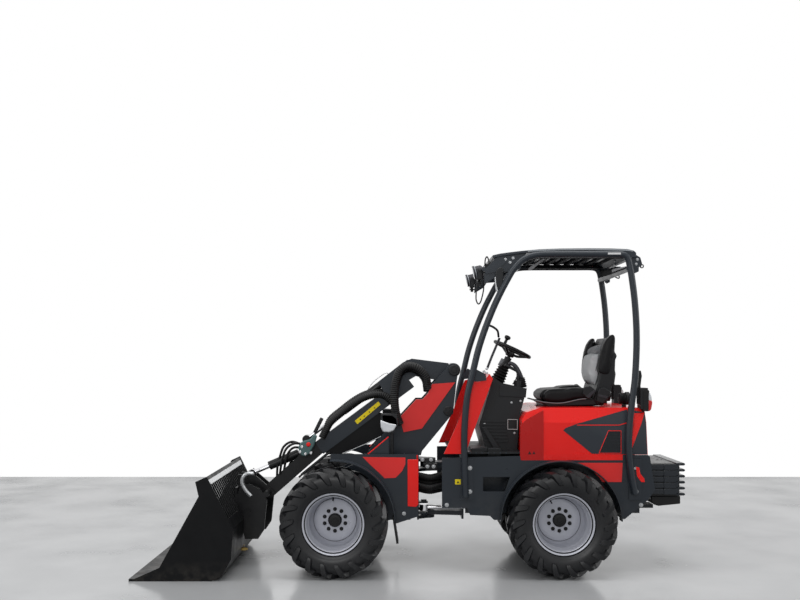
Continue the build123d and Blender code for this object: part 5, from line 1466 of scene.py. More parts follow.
@dataclass
class RollFrame:
    """Bent tubes, feet, cross tubes and roof of the roll-over frame."""

    radius: float = 0.0225
    side: float = 0.4653
    roof_half: float = 0.455

    def build(self) -> None:
        """Builds the frame and its roof."""
        self._hoops()
        self._roof()
        LOG.info("roll-over frame is built")

    def _hoops(self) -> None:
        """Builds both hoops with their feet, gussets and cross tubes."""
        path = [
            (465.6, 497.0), (464.6, 470.0), (464.2, 440.0), (465.0, 420.0), (466.8, 400.0), (469.0, 388.0),
            (472.8, 372.5), (478.1, 350.5), (484.5, 330.5), (492.3, 310.5), (499.6, 294.5), (508.0, 278.5),
            (513.2, 269.8), (520.6, 261.6), (526.2, 258.0), (533.0, 255.6), (542.0, 254.4), (560.0, 254.1),
            (600.0, 254.1), (618.0, 254.1), (624.8, 255.4), (628.0, 259.0), (630.0, 266.5), (632.5, 282.5),
            (634.6, 300.0), (636.1, 320.5), (636.6, 340.5), (636.1, 360.5), (634.7, 382.0), (632.3, 400.0),
            (630.2, 418.0), (628.9, 436.0), (629.2, 455.0), (632.0, 478.0), (635.0, 494.0),
        ]
        hoops = Draft()
        line = even_run(smooth_run(PHOTO.route([(column, row, self.side) for column, row in path]), 6), 0.018)
        hoops.tube(line, self.radius, 24)
        for column in (467.0, 635.4):
            x, low = PHOTO.spot(column, 500.0, 0.45)
            _, high = PHOTO.spot(column, 459.0, 0.45)
            hoops.box((x - 0.043, 0.4405, low), (x + 0.043, 0.4505, high))
        gusset = PHOTO.trace(
            [(477.0, 369.6), (485.8, 374.2), (486.4, 380.4), (472.0, 382.0), (470.0, 380.0)], 0.447,
        )
        hoops.prism(gusset, 0.4425, 0.4505)
        hoops.mirrored()
        hoops.pegs([(518.0, 266.8), (629.2, 268.6)], 0.466, -self.side, self.side, 0.02, 20)
        piece = hoops.piece("rollover_hoops", ANTHRACITE, smooth=50.0)
        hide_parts("rollover_frame")
        draft = Draft().bolts([(470.0, 468.0), (470.0, 491.6), (636.2, 491.7)], 0.45, 0.01)
        draft.mirrored().piece("rollover_foot_bolts", GALVANISED)

    def _roof(self) -> None:
        """Builds the thin roof skin, its ribs, a pale strip that paints the highlight along its side edge,
        and rear plates.
        """
        top = [
            (492.5, 255.2), (500.0, 253.5), (510.0, 252.1), (520.0, 250.9), (530.0, 250.0), (540.0, 249.1),
            (560.0, 248.4), (590.0, 248.1), (612.0, 248.3), (628.0, 249.0), (634.0, 250.6), (636.4, 252.6),
        ]
        low = [
            (636.4, 257.6), (630.0, 257.8), (622.0, 251.8), (590.0, 250.6), (560.0, 250.9), (540.0, 251.5),
            (530.0, 252.6), (515.0, 254.4), (500.0, 256.6), (493.4, 258.2),
        ]
        skin = Draft().plate(top + low, self.roof_half, -self.roof_half, self.roof_half)
        skin = skin.piece("roof_skin", ANTHRACITE, bevel=0.004)
        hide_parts("canopy")
        # Painted highlight: a pale strip along the roof's side edge stands in for the light on its top edge.
        roof_highlight = Draft()
        edge_highlight = [
            (528.0, 250.6), (540.0, 249.5), (560.0, 248.9), (590.0, 248.6), (612.0, 248.8), (628.0, 249.5),
            (633.0, 250.8), (633.0, 251.6), (628.0, 250.8), (612.0, 250.2), (590.0, 249.9), (560.0, 250.2),
            (540.0, 250.8), (528.0, 251.8),
        ]
        roof_highlight.film(edge_highlight, self.roof_half, 0.0015)
        roof_highlight.mirrored().piece("roof_side_painted_highlight", PALE_TRIM_AND_HIGHLIGHT)
        ribs = Draft()
        for index in range(9):
            x, z = PHOTO.spot(533.0 + index * 10.6, 259.4, 0.0)
            ribs.box((x - 0.014, -0.43, z - 0.01), (x + 0.014, 0.43, z + 0.006))
        for side in (1.0, -1.0):
            x_from, z = PHOTO.spot(622.0, 261.6, side * 0.3)
            x_to, _ = PHOTO.spot(530.0, 261.6, side * 0.3)
            y_from, y_to = sorted((side * 0.34, side * 0.42))
            ribs.box((x_from, y_from, 2.176), (x_to, y_to, 2.19))
        ribs.piece("roof_cross_ribs", UNDERSIDE, bevel=0.003)
        pale = Draft()
        x, z = PHOTO.spot(614.4, 253.5, 0.488)
        pale.box((x - 0.044, 0.486, z - 0.0065), (x + 0.044, 0.4885, z + 0.0065))
        x, z = PHOTO.spot(591.5, 267.8, -0.44)
        pale.box((x - 0.04, -0.441, z - 0.012), (x + 0.04, -0.4385, z + 0.012))
        pale.piece("roof_pale_labels", WHITE_LABEL)
        lines = Draft()
        lines.plate([(536.0, 263.5), (598.5, 263.4), (598.5, 264.4), (536.0, 264.5)], -0.43, -0.432, -0.426)
        stay = PHOTO.trace(
            [(528.2, 268.4), (543.6, 257.8), (546.4, 258.0), (531.4, 270.0), (528.6, 270.0)], 0.2,
        )
        lines.prism(stay, 0.186, 0.214)
        lines.plate([(614.4, 261.4), (624.0, 257.7), (624.0, 258.7), (614.8, 262.4)], 0.1, 0.09, 0.11)
        lines.plate([(609.8, 267.0), (624.6, 261.0), (624.8, 262.1), (610.2, 268.2)], 0.0, -0.02, 0.02)
        plate = PHOTO.trace([(612.3, 269.4), (626.3, 266.1), (626.9, 269.8), (613.2, 274.6)], -0.05)
        lines.prism(plate, -0.07, -0.03)
        lines.piece("roof_pale_stays", LIGHT_GREY, bevel=0.001)
        corner = PHOTO.trace([
            (601.0, 256.6), (613.0, 256.6), (613.6, 268.0), (612.6, 275.0), (607.4, 277.6), (601.4, 277.6),
            (600.4, 268.0),
        ], -0.4425)
        Draft().prism(corner, -0.442, -0.434).piece("roof_far_corner", BLACK, bevel=0.002)
        Draft().curve([
            (613.6, 275.0, -0.05), (616.0, 277.4, -0.05), (618.8, 278.2, -0.05), (619.2, 276.2, -0.05),
            (617.4, 275.6, -0.05),
        ], 6, 0.0045, 8).piece("roof_hook", PLASTIC)


@dataclass
class CanopyFittings:
    """Brackets, lamps and cables of the roll-over frame."""

    plate_y: float = 0.4425
    lamp_y: float = 0.33
    lamp_lean: float = 13.0

    def build(self) -> None:
        """Adds everything on the roll-over frame."""
        self._brackets()
        self._front_lamps()
        self._cables()
        LOG.info("canopy is fitted")

    def _brackets(self) -> None:
        """Adds the bolted corner plates at both ends of the roof."""
        front = PHOTO.trace([
            (494.6, 256.4), (501.0, 255.2), (515.0, 253.6), (527.3, 252.4), (523.0, 257.0), (514.4, 265.0),
            (509.6, 271.6), (498.4, 272.4), (495.0, 277.8), (484.4, 284.2), (484.6, 275.0), (489.8, 265.0),
            (493.6, 262.2),
        ], self.plate_y)
        draft = Draft()
        draft.prism(front, self.plate_y - 0.008, self.plate_y)
        rear = PHOTO.trace([
            (634.0, 253.4), (640.4, 257.4), (642.2, 263.4), (641.4, 266.6), (638.8, 267.0), (638.8, 271.4),
            (635.2, 273.2), (633.0, 271.6), (630.0, 262.0),
        ], self.plate_y)
        draft.prism(rear, self.plate_y - 0.008, self.plate_y)
        draft.mirrored().piece("roof_corner_plates", ANTHRACITE, bevel=0.002)
        places = [(505.4, 259.2), (513.1, 258.0), (510.1, 262.3), (637.4, 259.4), (636.2, 264.0)]
        draft = Draft().bolts(places, self.plate_y, 0.0062, 0.0005)
        draft.mirrored().piece("roof_corner_bolts", GALVANISED)
        eye = Draft()
        x, z = PHOTO.spot(641.8, 266.2, 0.43)
        turns = [step / 10 * math.pi for step in range(21)]
        ring = [(x + 0.011 * math.cos(turn), 0.43, z + 0.011 * math.sin(turn)) for turn in turns]
        eye.tube(ring, 0.004, 10)
        eye.piece("roof_rear_eye", PLASTIC)
        roller = Draft()
        x, z = PHOTO.spot(637.6, 269.0, 0.43)
        roller.rod((x, 0.426, z - 0.016), (x, 0.426, z + 0.016), 0.01, 16, 0.002)
        roller.piece("roof_rear_roller", GALVANISED)
        marker = PHOTO.trace([
            (495.4, 273.4), (497.9, 267.8), (501.8, 267.0), (503.2, 268.6), (503.2, 282.0), (501.2, 291.2),
            (498.4, 292.2), (496.2, 284.0),
        ], 0.47)
        Draft().prism(marker, 0.4455, 0.476).piece("front_marker", PLASTIC, bevel=0.006)
        pale = PHOTO.trace(
            [(494.6, 277.4), (496.3, 276.6), (499.0, 291.8), (497.4, 292.4), (495.8, 290.0)], 0.46,
        )
        Draft().prism(pale, 0.443, 0.469).piece("front_marker_lens", GALVANISED, bevel=0.003)

    def _front_lamps(self) -> None:
        """Adds the finned front lamps with their brackets."""
        housings = Draft()
        lenses = Draft()
        brackets = Draft()
        x, z = PHOTO.spot(482.0, 270.9, self.lamp_y)
        lean = math.radians(self.lamp_lean)
        axis = Vector((math.cos(lean), 0.0, -math.sin(lean)))
        start = Vector((x, self.lamp_y, z))
        line = (tuple(start), tuple(axis))
        profile = [(0.0, -0.014), (0.022, -0.014), (0.026, -0.008), (0.038, -0.002), (0.041, 0.004)]
        for index in range(4):
            depth = 0.007 + index * 0.009
            profile += [
                (0.0425, depth), (0.0425, depth + 0.0055), (0.041, depth + 0.006), (0.041, depth + 0.0085),
            ]
        profile += [
            (0.0455, 0.046), (0.047, 0.049), (0.047, 0.06), (0.045, 0.063), (0.043, 0.061), (0.0, 0.061),
        ]
        housings.spun(profile, *line, 40)
        lenses.spun([(0.0, 0.0612), (0.0428, 0.0612), (0.04, 0.064), (0.0, 0.066)], *line, 40)
        Draft().spun(
            [(0.04, 0.0455), (0.0474, 0.0455), (0.0478, 0.048), (0.0474, 0.0505), (0.04, 0.0505)],
            *line, 40,
        ).mirrored().piece("front_lamp_rings", PALE_TRIM_AND_HIGHLIGHT, smooth=40.0)
        foot = start + axis * 0.02
        brackets.box(
            (foot.x - 0.014, self.lamp_y - 0.06, foot.z - 0.062),
            (foot.x + 0.014, self.lamp_y + 0.06, foot.z - 0.056),
        )
        for side in (-1.0, 1.0):
            arm_from, arm_to = sorted((self.lamp_y + side * 0.054, self.lamp_y + side * 0.06))
            brackets.box((foot.x - 0.014, arm_from, foot.z - 0.06), (foot.x + 0.014, arm_to, foot.z + 0.01))
            brackets.rod(
                (foot.x, self.lamp_y + side * 0.04, foot.z), (foot.x, self.lamp_y + side * 0.066, foot.z),
                0.008, 12,
            )
        brackets.rod((foot.x, self.lamp_y, foot.z - 0.094), (foot.x, self.lamp_y, foot.z - 0.056), 0.01, 14)
        brackets.rod(
            (foot.x, self.lamp_y, foot.z - 0.082), (foot.x, self.lamp_y, foot.z - 0.07), 0.019, 6, 0.002,
        )
        housings.mirrored()
        lamps = housings.piece("front_work_lamps", LAMP_BLACK, smooth=30.0)
        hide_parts("work_lamp_left", "work_lamp_right")
        lenses.mirrored().piece("front_work_lenses", LENS, smooth=60.0)
        brackets.mirrored().piece("front_lamp_brackets", PLASTIC, bevel=0.001)

    def _cables(self) -> None:
        """Adds the cable loops that hang from the front lamps."""
        draft = Draft()
        draft.curve([
            (480.6, 279.0, 0.32), (477.4, 283.6, 0.33), (476.4, 290.0, 0.335), (476.1, 299.3, 0.34),
            (478.1, 303.8, 0.34), (480.4, 302.2, 0.34), (482.4, 295.6, 0.345), (483.6, 289.0, 0.35),
            (483.8, 281.6, 0.37), (486.0, 277.0, 0.4),
        ], 10, 0.0046, 8)
        draft.curve([
            (484.8, 266.0, 0.34), (485.3, 259.6, 0.34), (486.8, 256.8, 0.345), (488.2, 258.8, 0.35),
            (489.4, 265.4, 0.37),
        ], 10, 0.0046, 8)
        draft.piece("lamp_cables", RUBBER, smooth=60.0)
        blocks = Draft()
        for column, row in ((479.0, 283.6), (481.6, 277.0), (487.0, 266.6)):
            x, z = PHOTO.spot(column, row, 0.33)
            blocks.box((x - 0.014, 0.314, z - 0.018), (x + 0.014, 0.34, z + 0.018))
        blocks.piece("lamp_plugs", PLASTIC, bevel=0.004)


@dataclass
class RearEnd:
    """Tail lamps, small lamp and the trim of the weights."""

    lamp_span: Flat = (0.352, 0.4425)
    rib_pitch: float = 6.1
    prong_pitch: float = 6.0

    def build(self) -> None:
        """Adds the rear fittings."""
        self._tail_lamps()
        self._inner_lamp()
        self._weights()
        self._weight_trim()
        LOG.info("rear end is fitted")

    def _tail_lamps(self) -> None:
        """Adds lenses and gaskets to the tail lamps."""
        clear = [(648.4, 392.4), (650.6, 393.6), (651.6, 397.4), (651.9, 400.4), (648.4, 400.2)]
        red = [
            (648.2, 400.2), (652.0, 400.6), (652.4, 403.0), (651.2, 409.6), (649.4, 411.2), (648.2, 411.2),
        ]
        gasket = [
            (643.0, 390.6), (648.4, 389.8), (649.4, 391.4), (649.0, 396.6), (648.8, 410.4), (647.6, 411.4),
            (643.0, 411.2),
        ]
        for name, finish, bevel, places in (
            ("tail_clear_lenses", LENS, 0.003, clear), ("tail_lenses", RED_LENS, 0.004, red),
            ("tail_gaskets", RUBBER, 0.002, gasket),
        ):
            Draft().plate(places, 0.44, *self.lamp_span).mirrored().piece(name, finish, bevel=bevel)

    def _inner_lamp(self) -> None:
        """Adds the finned lamp ahead of the near post and the hook bracket on it."""
        x, z = PHOTO.spot(623.6, 398.4, 0.3)
        draft = Draft()
        profile = [(0.0, 0.0), (0.026, 0.0)]
        for index in range(5):
            profile += [
                (0.04, 0.008 * index + 0.004), (0.04, 0.008 * index + 0.007), (0.03, 0.008 * index + 0.008),
            ]
        profile += [(0.046, 0.046), (0.046, 0.07), (0.0, 0.072)]
        draft.spun(profile, (x + 0.034, 0.3, z), (-1.0, 0.0, 0.0), 28)
        draft.box((x - 0.014, 0.285, z - 0.085), (x + 0.01, 0.315, z - 0.04))
        draft.mirrored().piece("rear_work_lamps", PLASTIC, smooth=30.0)
        Draft().plate([
            (636.6, 378.0), (638.6, 376.0), (639.4, 370.6), (641.0, 370.6), (642.0, 376.0), (641.4, 379.6),
            (640.6, 386.0), (642.0, 395.0), (640.0, 404.0), (637.0, 404.0),
        ], 0.4, 0.385, 0.4).mirrored().piece("rear_lamp_brackets", PLASTIC, bevel=0.002)

    def _weights(self) -> None:
        """Builds the stack of rear weights: round ribs, slabs and prongs."""
        ribs = Draft()
        slabs = Draft()
        for index in range(5):
            row = 467.3 + index * self.rib_pitch
            rib = [
                (664.6, row - 2.7), (650.0, row - 2.7), (647.2, row - 2.2), (645.4, row - 1.2), (644.8, row),
                (645.4, row + 1.2), (647.2, row + 2.2), (650.0, row + 2.7), (664.6, row + 2.7),
            ]
            ribs.plate(rib, 0.3, -0.296, 0.296)
            slab = [(664.0, row - 2.95), (678.6, row - 2.95), (678.6, row + 2.95), (664.0, row + 2.95)]
            slabs.plate(slab, 0.3, -0.3, 0.3)
        for index in range(6):
            row = 464.3 + index * self.prong_pitch
            prong = [
                (676.0, row - 1.3), (684.0, row - 1.3), (685.2, row - 0.6), (685.2, row + 0.6),
                (684.0, row + 1.3), (676.0, row + 1.3),
            ]
            slabs.plate(prong, 0.3, -0.3, 0.3)
        weights = slabs.piece("rear_weight_slabs", CAST, bevel=0.003)
        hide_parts("rear_weight")
        ribs.piece("rear_weight_ribs", CAST, bevel=0.004)
        core = Draft()
        core.plate(
            [(640.0, 463.4), (679.4, 463.4), (679.4, 496.0), (643.0, 496.0), (640.0, 488.0)], 0.28, -0.285,
            0.285,
        )
        drum = [
            (652.0, 496.0), (680.4, 496.0), (680.4, 503.8), (658.6, 506.0), (654.2, 504.8), (651.6, 501.6),
            (651.0, 497.0),
        ]
        core.plate(drum, 0.22, -0.22, 0.22)
        core.piece("rear_weight_core", BLACK, bevel=0.006)

    def _weight_trim(self) -> None:
        """Adds the lifting lug of the weights."""
        draft = Draft().pegs([(656.0, 461.0), (660.0, 461.0)], 0.0, -0.035, 0.035, 0.016, 18, 0.003)
        draft.piece("weight_lifting_lug", CAST)


@dataclass
class FrontEnd:
    """Films, headlamps, bolts, flap and hoses of the front frame."""

    plate: float = 0.378

    def build(self) -> None:
        """Adds everything on the front frame."""
        self._films()
        self._headlamps()
        self._tower()
        self._articulation()
        self._flaps()
        LOG.info("front frame is fitted")

    def _films(self) -> None:
        """Lays the red and dark shapes of the side plates."""
        y = self.plate
        Draft().film([
            (362.6, 457.0), (405.4, 457.5), (405.4, 464.0), (402.2, 471.0), (395.6, 477.8), (384.6, 478.2),
            (379.4, 473.0), (371.6, 466.0),
        ], y, 0.0018).mirrored().piece("front_red_panels", PANEL_RED, Body.FRONT)
        Draft().plate(
            [(366.8, 455.6), (388.4, 437.4), (389.0, 455.6)], y, 0.33, 0.338,
        ).mirrored().piece("front_inner_gussets", ANTHRACITE, Body.FRONT, bevel=0.001)
        draft = Draft().bar([(366.4, 455.6), (388.6, 436.8)], 0.335, 0.0045, 8)
        draft.mirrored().piece("front_red_edges", RED, Body.FRONT)
        draft = Draft().bolts([(404.0, 513.5)], y, 0.009)
        draft.mirrored().piece("front_plate_bolts", GALVANISED, Body.FRONT)
        Draft().film(
            [(407.6, 459.4), (418.4, 459.4), (418.4, 504.6), (416.0, 507.0), (407.6, 506.2)], y, 0.006,
        ).mirrored().piece("front_red_covers", RED, Body.FRONT, bevel=0.003)

    def _headlamps(self) -> None:
        """Builds the headlamps with a dark hood and a clear front."""
        hood_places = [
            (380.6, 414.4), (384.0, 413.4), (393.0, 414.0), (397.6, 417.6), (398.8, 424.0), (396.0, 430.0),
            (389.0, 432.0), (383.4, 431.4), (381.6, 424.0),
        ]
        hoods = Draft().plate(hood_places, 0.33, 0.252, 0.35)
        hood = hoods.mirrored().piece("headlamp_hoods", PLASTIC, Body.FRONT, bevel=0.012)
        lens_places = [
            (380.4, 419.4), (390.0, 423.0), (397.4, 424.0), (394.0, 430.6), (389.0, 432.4), (383.0, 432.0),
            (380.8, 427.0),
        ]
        lenses = Draft().plate(lens_places, 0.33, 0.256, 0.353)
        lenses.mirrored().piece("headlamp_lenses", LENS, Body.FRONT, bevel=0.01)

    def _tower(self) -> None:
        """Adds the pin caps of the tower."""
        caps = Draft()
        for column, row, y, radius in ((454.2, 370.2, 0.172, 0.04), (448.0, 411.0, 0.152, 0.034)):
            x, z = PHOTO.spot(column, row, y)
            caps.spun([
                (0.0, 0.0), (radius, 0.0), (radius, 0.008), (radius * 0.85, 0.012), (radius * 0.5, 0.012),
                (radius * 0.45, 0.016), (0.0, 0.017),
            ], (x, y, z), ACROSS, 32)
        caps.mirrored().piece("tower_pin_caps", PLASTIC, Body.FRONT, smooth=30.0)

    def _articulation(self) -> None:
        """Adds the wrapped hoses and the small brackets at the middle joint."""
        bundle = Draft()
        for index, (y, row) in enumerate(((0.2, 476.0), (0.16, 481.0), (0.22, 486.0), (0.12, 490.0))):
            route = PHOTO.route([
                (414.0, row - 2.0, y), (421.0, row, y + 0.02), (430.0, row + 1.5, y + 0.03),
                (438.0, row, y + 0.01), (443.0, row - 1.0, y - 0.02),
            ])
            sleeve(bundle, route, 0.024 - 0.002 * index, 0.013, 0.06)
        bundle.piece("joint_hose_sleeves", RUBBER, Body.FRONT, smooth=60.0)
        small = Draft()
        small.plate(
            [(420.6, 458.0), (435.4, 457.4), (435.4, 461.0), (433.0, 462.4), (424.0, 462.4)], 0.2, 0.19, 0.23,
        )
        small.plate([(423.0, 463.0), (437.0, 463.0), (437.0, 470.0), (426.0, 470.0)], 0.2, 0.18, 0.24)
        small.piece("valve_bracket", PLASTIC, Body.FRONT, bevel=0.002)
        draft = Draft().bolts([(422.4, 459.6), (427.4, 466.4), (433.6, 466.4), (431.0, 459.6)], 0.24, 0.009)
        draft.piece("valve_bolts", GALVANISED, Body.FRONT)

    def _flaps(self) -> None:
        """Adds the rubber flap behind each front wheel."""
        flap = [(392.4, 517.0), (394.6, 517.0), (398.6, 543.0), (396.4, 543.4)]
        Draft().plate(
            flap, 0.45, 0.335, 0.47,
        ).mirrored().piece("front_flaps", RUBBER, Body.FRONT, bevel=0.001)


@dataclass
class BoomFittings:
    """Hoses, sleeves, lever block and label on the boom."""

    sleeve_pitch: float = 0.014
    sleeve_depth: float = 0.07

    def build(self) -> None:
        """Adds everything on the boom."""
        self._label()
        self._under_plates()
        self._sleeves()
        self._block()
        self._thin_hoses()
        self._wires()
        LOG.info("boom is fitted")

    def _label(self) -> None:
        """Adds the blank yellow label on the beam."""
        y = 0.068
        label = PHOTO.trace([(354.8, 420.8), (378.4, 401.4), (380.6, 404.6), (357.4, 424.2)], y)
        Draft().prism(label, y - 0.002, y + 0.0015).piece("boom_yellow_label", YELLOW, Body.BOOM)
        marks = Draft()
        for share in (0.2, 0.36, 0.58, 0.8):
            column = 355.8 + share * 23.4
            row = 422.4 - share * 19.2
            marks.plate(
                [(column - 0.9, row + 0.6), (column + 0.9, row - 0.2), (column + 0.1, row + 1.6)], y, y,
                y + 0.0024,
            )
        marks.piece("boom_label_marks", BLACK, Body.BOOM)

    def _under_plates(self) -> None:
        """Adds the dark plates under the beam on both sides of the lift cylinder, and pale metal tubes along
        their lower edges that paint the highlight there.
        """
        plates = Draft()
        outline = PHOTO.trace([
            (324.0, 449.4), (331.0, 446.4), (348.0, 435.0), (378.0, 412.6), (384.6, 415.0), (386.4, 430.0),
            (384.0, 434.0), (366.0, 443.0), (344.0, 452.6), (336.0, 454.6), (327.0, 454.4),
        ], 0.056)
        plates.prism(outline, 0.05, 0.058)
        plates.mirrored().piece("boom_under_plates", BUCKET_BLACK, Body.BOOM, bevel=0.002)
        # Painted highlight: galvanised tubes along the plates' lower edges stand in for the light on the
        # glossy edges.
        edge_highlight = Draft()
        route = PHOTO.route([(343.0, 453.6, 0.059), (366.0, 443.8, 0.059), (384.6, 434.6, 0.059)])
        edge_highlight.tube(route, 0.0035, 8)
        edge_highlight.mirrored().piece("boom_under_edge_highlights", GALVANISED, Body.BOOM)

    def _sleeves(self) -> None:
        """Adds the big ribbed sleeves over the boom's root and along its top."""
        arch = Draft()
        for y, shift in ((0.195, 0.0), (0.15, 2.2)):
            sleeve(arch, PHOTO.route([
                (427.5, 388.0 + shift, y - 0.05), (425.5, 377.0 + shift, y - 0.02), (417.5, 368.4 + shift, y),
                (408.0, 366.2 + shift, y), (400.4, 370.4 + shift, y), (396.4, 380.0 + shift, y),
                (394.6, 392.0, y), (394.8, 405.0, y), (396.6, 416.0, y - 0.01), (399.6, 424.0, y - 0.03),
            ]), 0.03, self.sleeve_pitch, self.sleeve_depth)
        arch.piece("boom_root_sleeves", RUBBER, Body.BOOM, smooth=60.0)
        run = Draft()
        for y, shift in ((0.06, 0.0), (0.005, -2.6)):
            sleeve(run, PHOTO.route([
                (392.0, 402.0 + shift, y), (386.0, 396.6 + shift, y), (378.0, 394.4 + shift, y),
                (366.0, 396.8 + shift, y), (354.0, 403.2 + shift, y), (342.0, 412.4 + shift, y),
                (331.0, 421.8 + shift, y), (326.0, 430.0, y), (322.0, 438.0, y),
            ]), 0.027, self.sleeve_pitch, self.sleeve_depth)
        run.piece("boom_top_sleeves", RUBBER, Body.BOOM, smooth=60.0)

    def _block(self) -> None:
        """Adds the button, lever and ports of the quick coupler block."""
        shape = [
            (313.4, 434.2), (316.8, 436.0), (315.6, 441.0), (314.0, 446.0), (311.6, 450.0), (309.2, 454.0),
            (305.6, 456.4), (301.6, 455.6), (299.0, 452.0), (298.6, 446.6), (300.6, 442.6), (304.6, 440.6),
            (309.0, 439.8), (311.4, 437.6),
        ]
        draft = Draft().plate(shape, 0.1, 0.06, 0.114)
        block = draft.piece("coupler_block", GREEN_GREY, Body.SLIDE, bevel=0.007)
        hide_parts("multi_coupler")
        x, z = PHOTO.spot(308.4, 444.6, 0.118)
        button = [(0.0, -0.01), (0.016, -0.01), (0.016, 0.004), (0.012, 0.01), (0.0, 0.011)]
        Draft().spun(button, (x, 0.112, z), ACROSS, 24).piece("coupler_button", RED, Body.SLIDE, smooth=40.0)
        start, end = (Vector(point) for point in PHOTO.route([(314.6, 433.0, 0.08), (322.0, 418.0, 0.08)]))
        angle = math.atan2(end.z - start.z, end.x - start.x)
        lever = Draft().slab(
            tuple((start + end) / 2), ((end - start).length, 0.022, 0.026), Matrix.Rotation(-angle, 3, "Y")
        )
        lever.piece("coupler_lever", PLASTIC, Body.SLIDE, bevel=0.005)
        ports = [(302.0, 447.0), (300.0, 452.0), (305.4, 454.0), (311.0, 453.0)]
        draft = Draft().pegs(ports, 0.11, 0.07, 0.117, 0.01, 16, 0.002)
        draft.piece("coupler_ports", STEEL, Body.SLIDE)

    def _thin_hoses(self) -> None:
        """Adds the thin hoses that arc from the block down to the bucket's coupler."""
        draft = Draft()
        for points in ([
            (303.0, 444.0, 0.06), (294.0, 443.6, 0.08), (286.6, 448.4, 0.09), (282.8, 457.0, 0.09),
            (281.0, 466.0, 0.08), (280.0, 474.0, 0.06),
        ], [
            (302.0, 448.0, 0.04), (294.0, 447.6, 0.05), (288.6, 452.4, 0.05), (286.0, 460.0, 0.05),
            (284.0, 470.0, 0.04),
        ], [
            (303.0, 445.0, 0.0), (292.0, 441.8, 0.01), (284.0, 446.4, 0.02), (280.4, 455.0, 0.02),
            (277.6, 466.0, 0.02), (277.0, 477.0, 0.02),
        ], [(305.0, 452.0, -0.03), (297.0, 455.0, -0.03), (291.0, 462.0, -0.03), (287.6, 470.0, -0.03)]):
            draft.curve(points, 12, 0.0088, 12)
        draft.piece("bucket_hoses", RUBBER, Body.SLIDE, smooth=60.0)
        (x_from, z_from), (x_to, z_to) = PHOTO.trace([(330.0, 452.0), (299.0, 477.0)], 0.07)
        pipes = Draft().rod((x_from, 0.078, z_from), (x_to, 0.078, z_to), 0.0075, 12)
        pipes.mirrored().piece("boom_side_pipes", PLASTIC, Body.SLIDE)

    def _wires(self) -> None:
        """Adds the thin wire that stands over the telescope cylinder."""
        Draft().curve([
            (364.6, 394.0, 0.0), (372.0, 383.4, 0.0), (380.0, 376.4, 0.0), (386.6, 372.6, 0.0),
            (389.0, 375.4, 0.0), (395.6, 375.0, 0.0),
        ], 10, 0.0035, 8).piece("boom_wire", STEEL, Body.BOOM, smooth=60.0)


@dataclass
class BucketTrim:
    """Edges, fitting and hook of the bucket and its coupler."""

    half: float = 0.645
    lip_normal: Flat = (-0.81, 0.58)
    lip_lift: float = 0.003

    def build(self) -> None:
        """Adds the trim."""
        self._lip()
        self._strap()
        self._fitting()
        LOG.info("bucket is trimmed")

    def _lip(self) -> None:
        """Adds a pale strip on the bucket's top flange, a painted reflection of the bright surroundings on
        its glossy paint.
        """
        high, low = PHOTO.trace([(206.4, 477.9), (210.8, 484.2)], self.half)
        ahead, up = (part * self.lip_lift for part in self.lip_normal)
        raised = [(x + ahead, z + up) for x, z in (low, high)]
        draft = Draft().prism([high, low, *raised], -self.half, self.half)
        draft.piece("bucket_lip_painted_reflection", LIP_PAINTED_REFLECTION, Body.BUCKET)

    def _strap(self) -> None:
        """Adds a pale curved bar at the bucket's back that paints the reflection on the glossy bent plate
        there, and the hook.
        """
        places = [
            (253.6, 473.6, 0.2), (247.0, 473.8, 0.2), (243.0, 478.0, 0.2), (242.6, 484.0, 0.2),
            (246.0, 490.6, 0.2), (251.0, 496.0, 0.2),
        ]
        # Painted reflection: the galvanised bar stands in for the light on the glossy bent plate.
        Draft().curve(places, 10, 0.014, 14).piece("coupler_strap_painted_reflection", GALVANISED, Body.BUCKET, smooth=60.0)
        Draft().tube(
            PHOTO.route([(231.8, 460.8, 0.25), (239.6, 456.6, 0.25), (247.0, 472.0, 0.25)]), 0.006, 10,
        ).piece("bucket_hook", BLACK, Body.BUCKET)

    def _fitting(self) -> None:
        """Adds the brass fitting under the coupler."""
        draft = Draft()
        for column, row in ((240.0, 545.0), (243.6, 549.0)):
            x, z = PHOTO.spot(column, row, 0.12)
            draft.rod((x - 0.018, 0.12, z), (x + 0.018, 0.12, z), 0.013, 6, 0.002)
            draft.rod((x - 0.03, 0.12, z), (x + 0.03, 0.12, z), 0.008, 16, 0.001)
        draft.piece("brass_couplings", BRASS, Body.BUCKET)


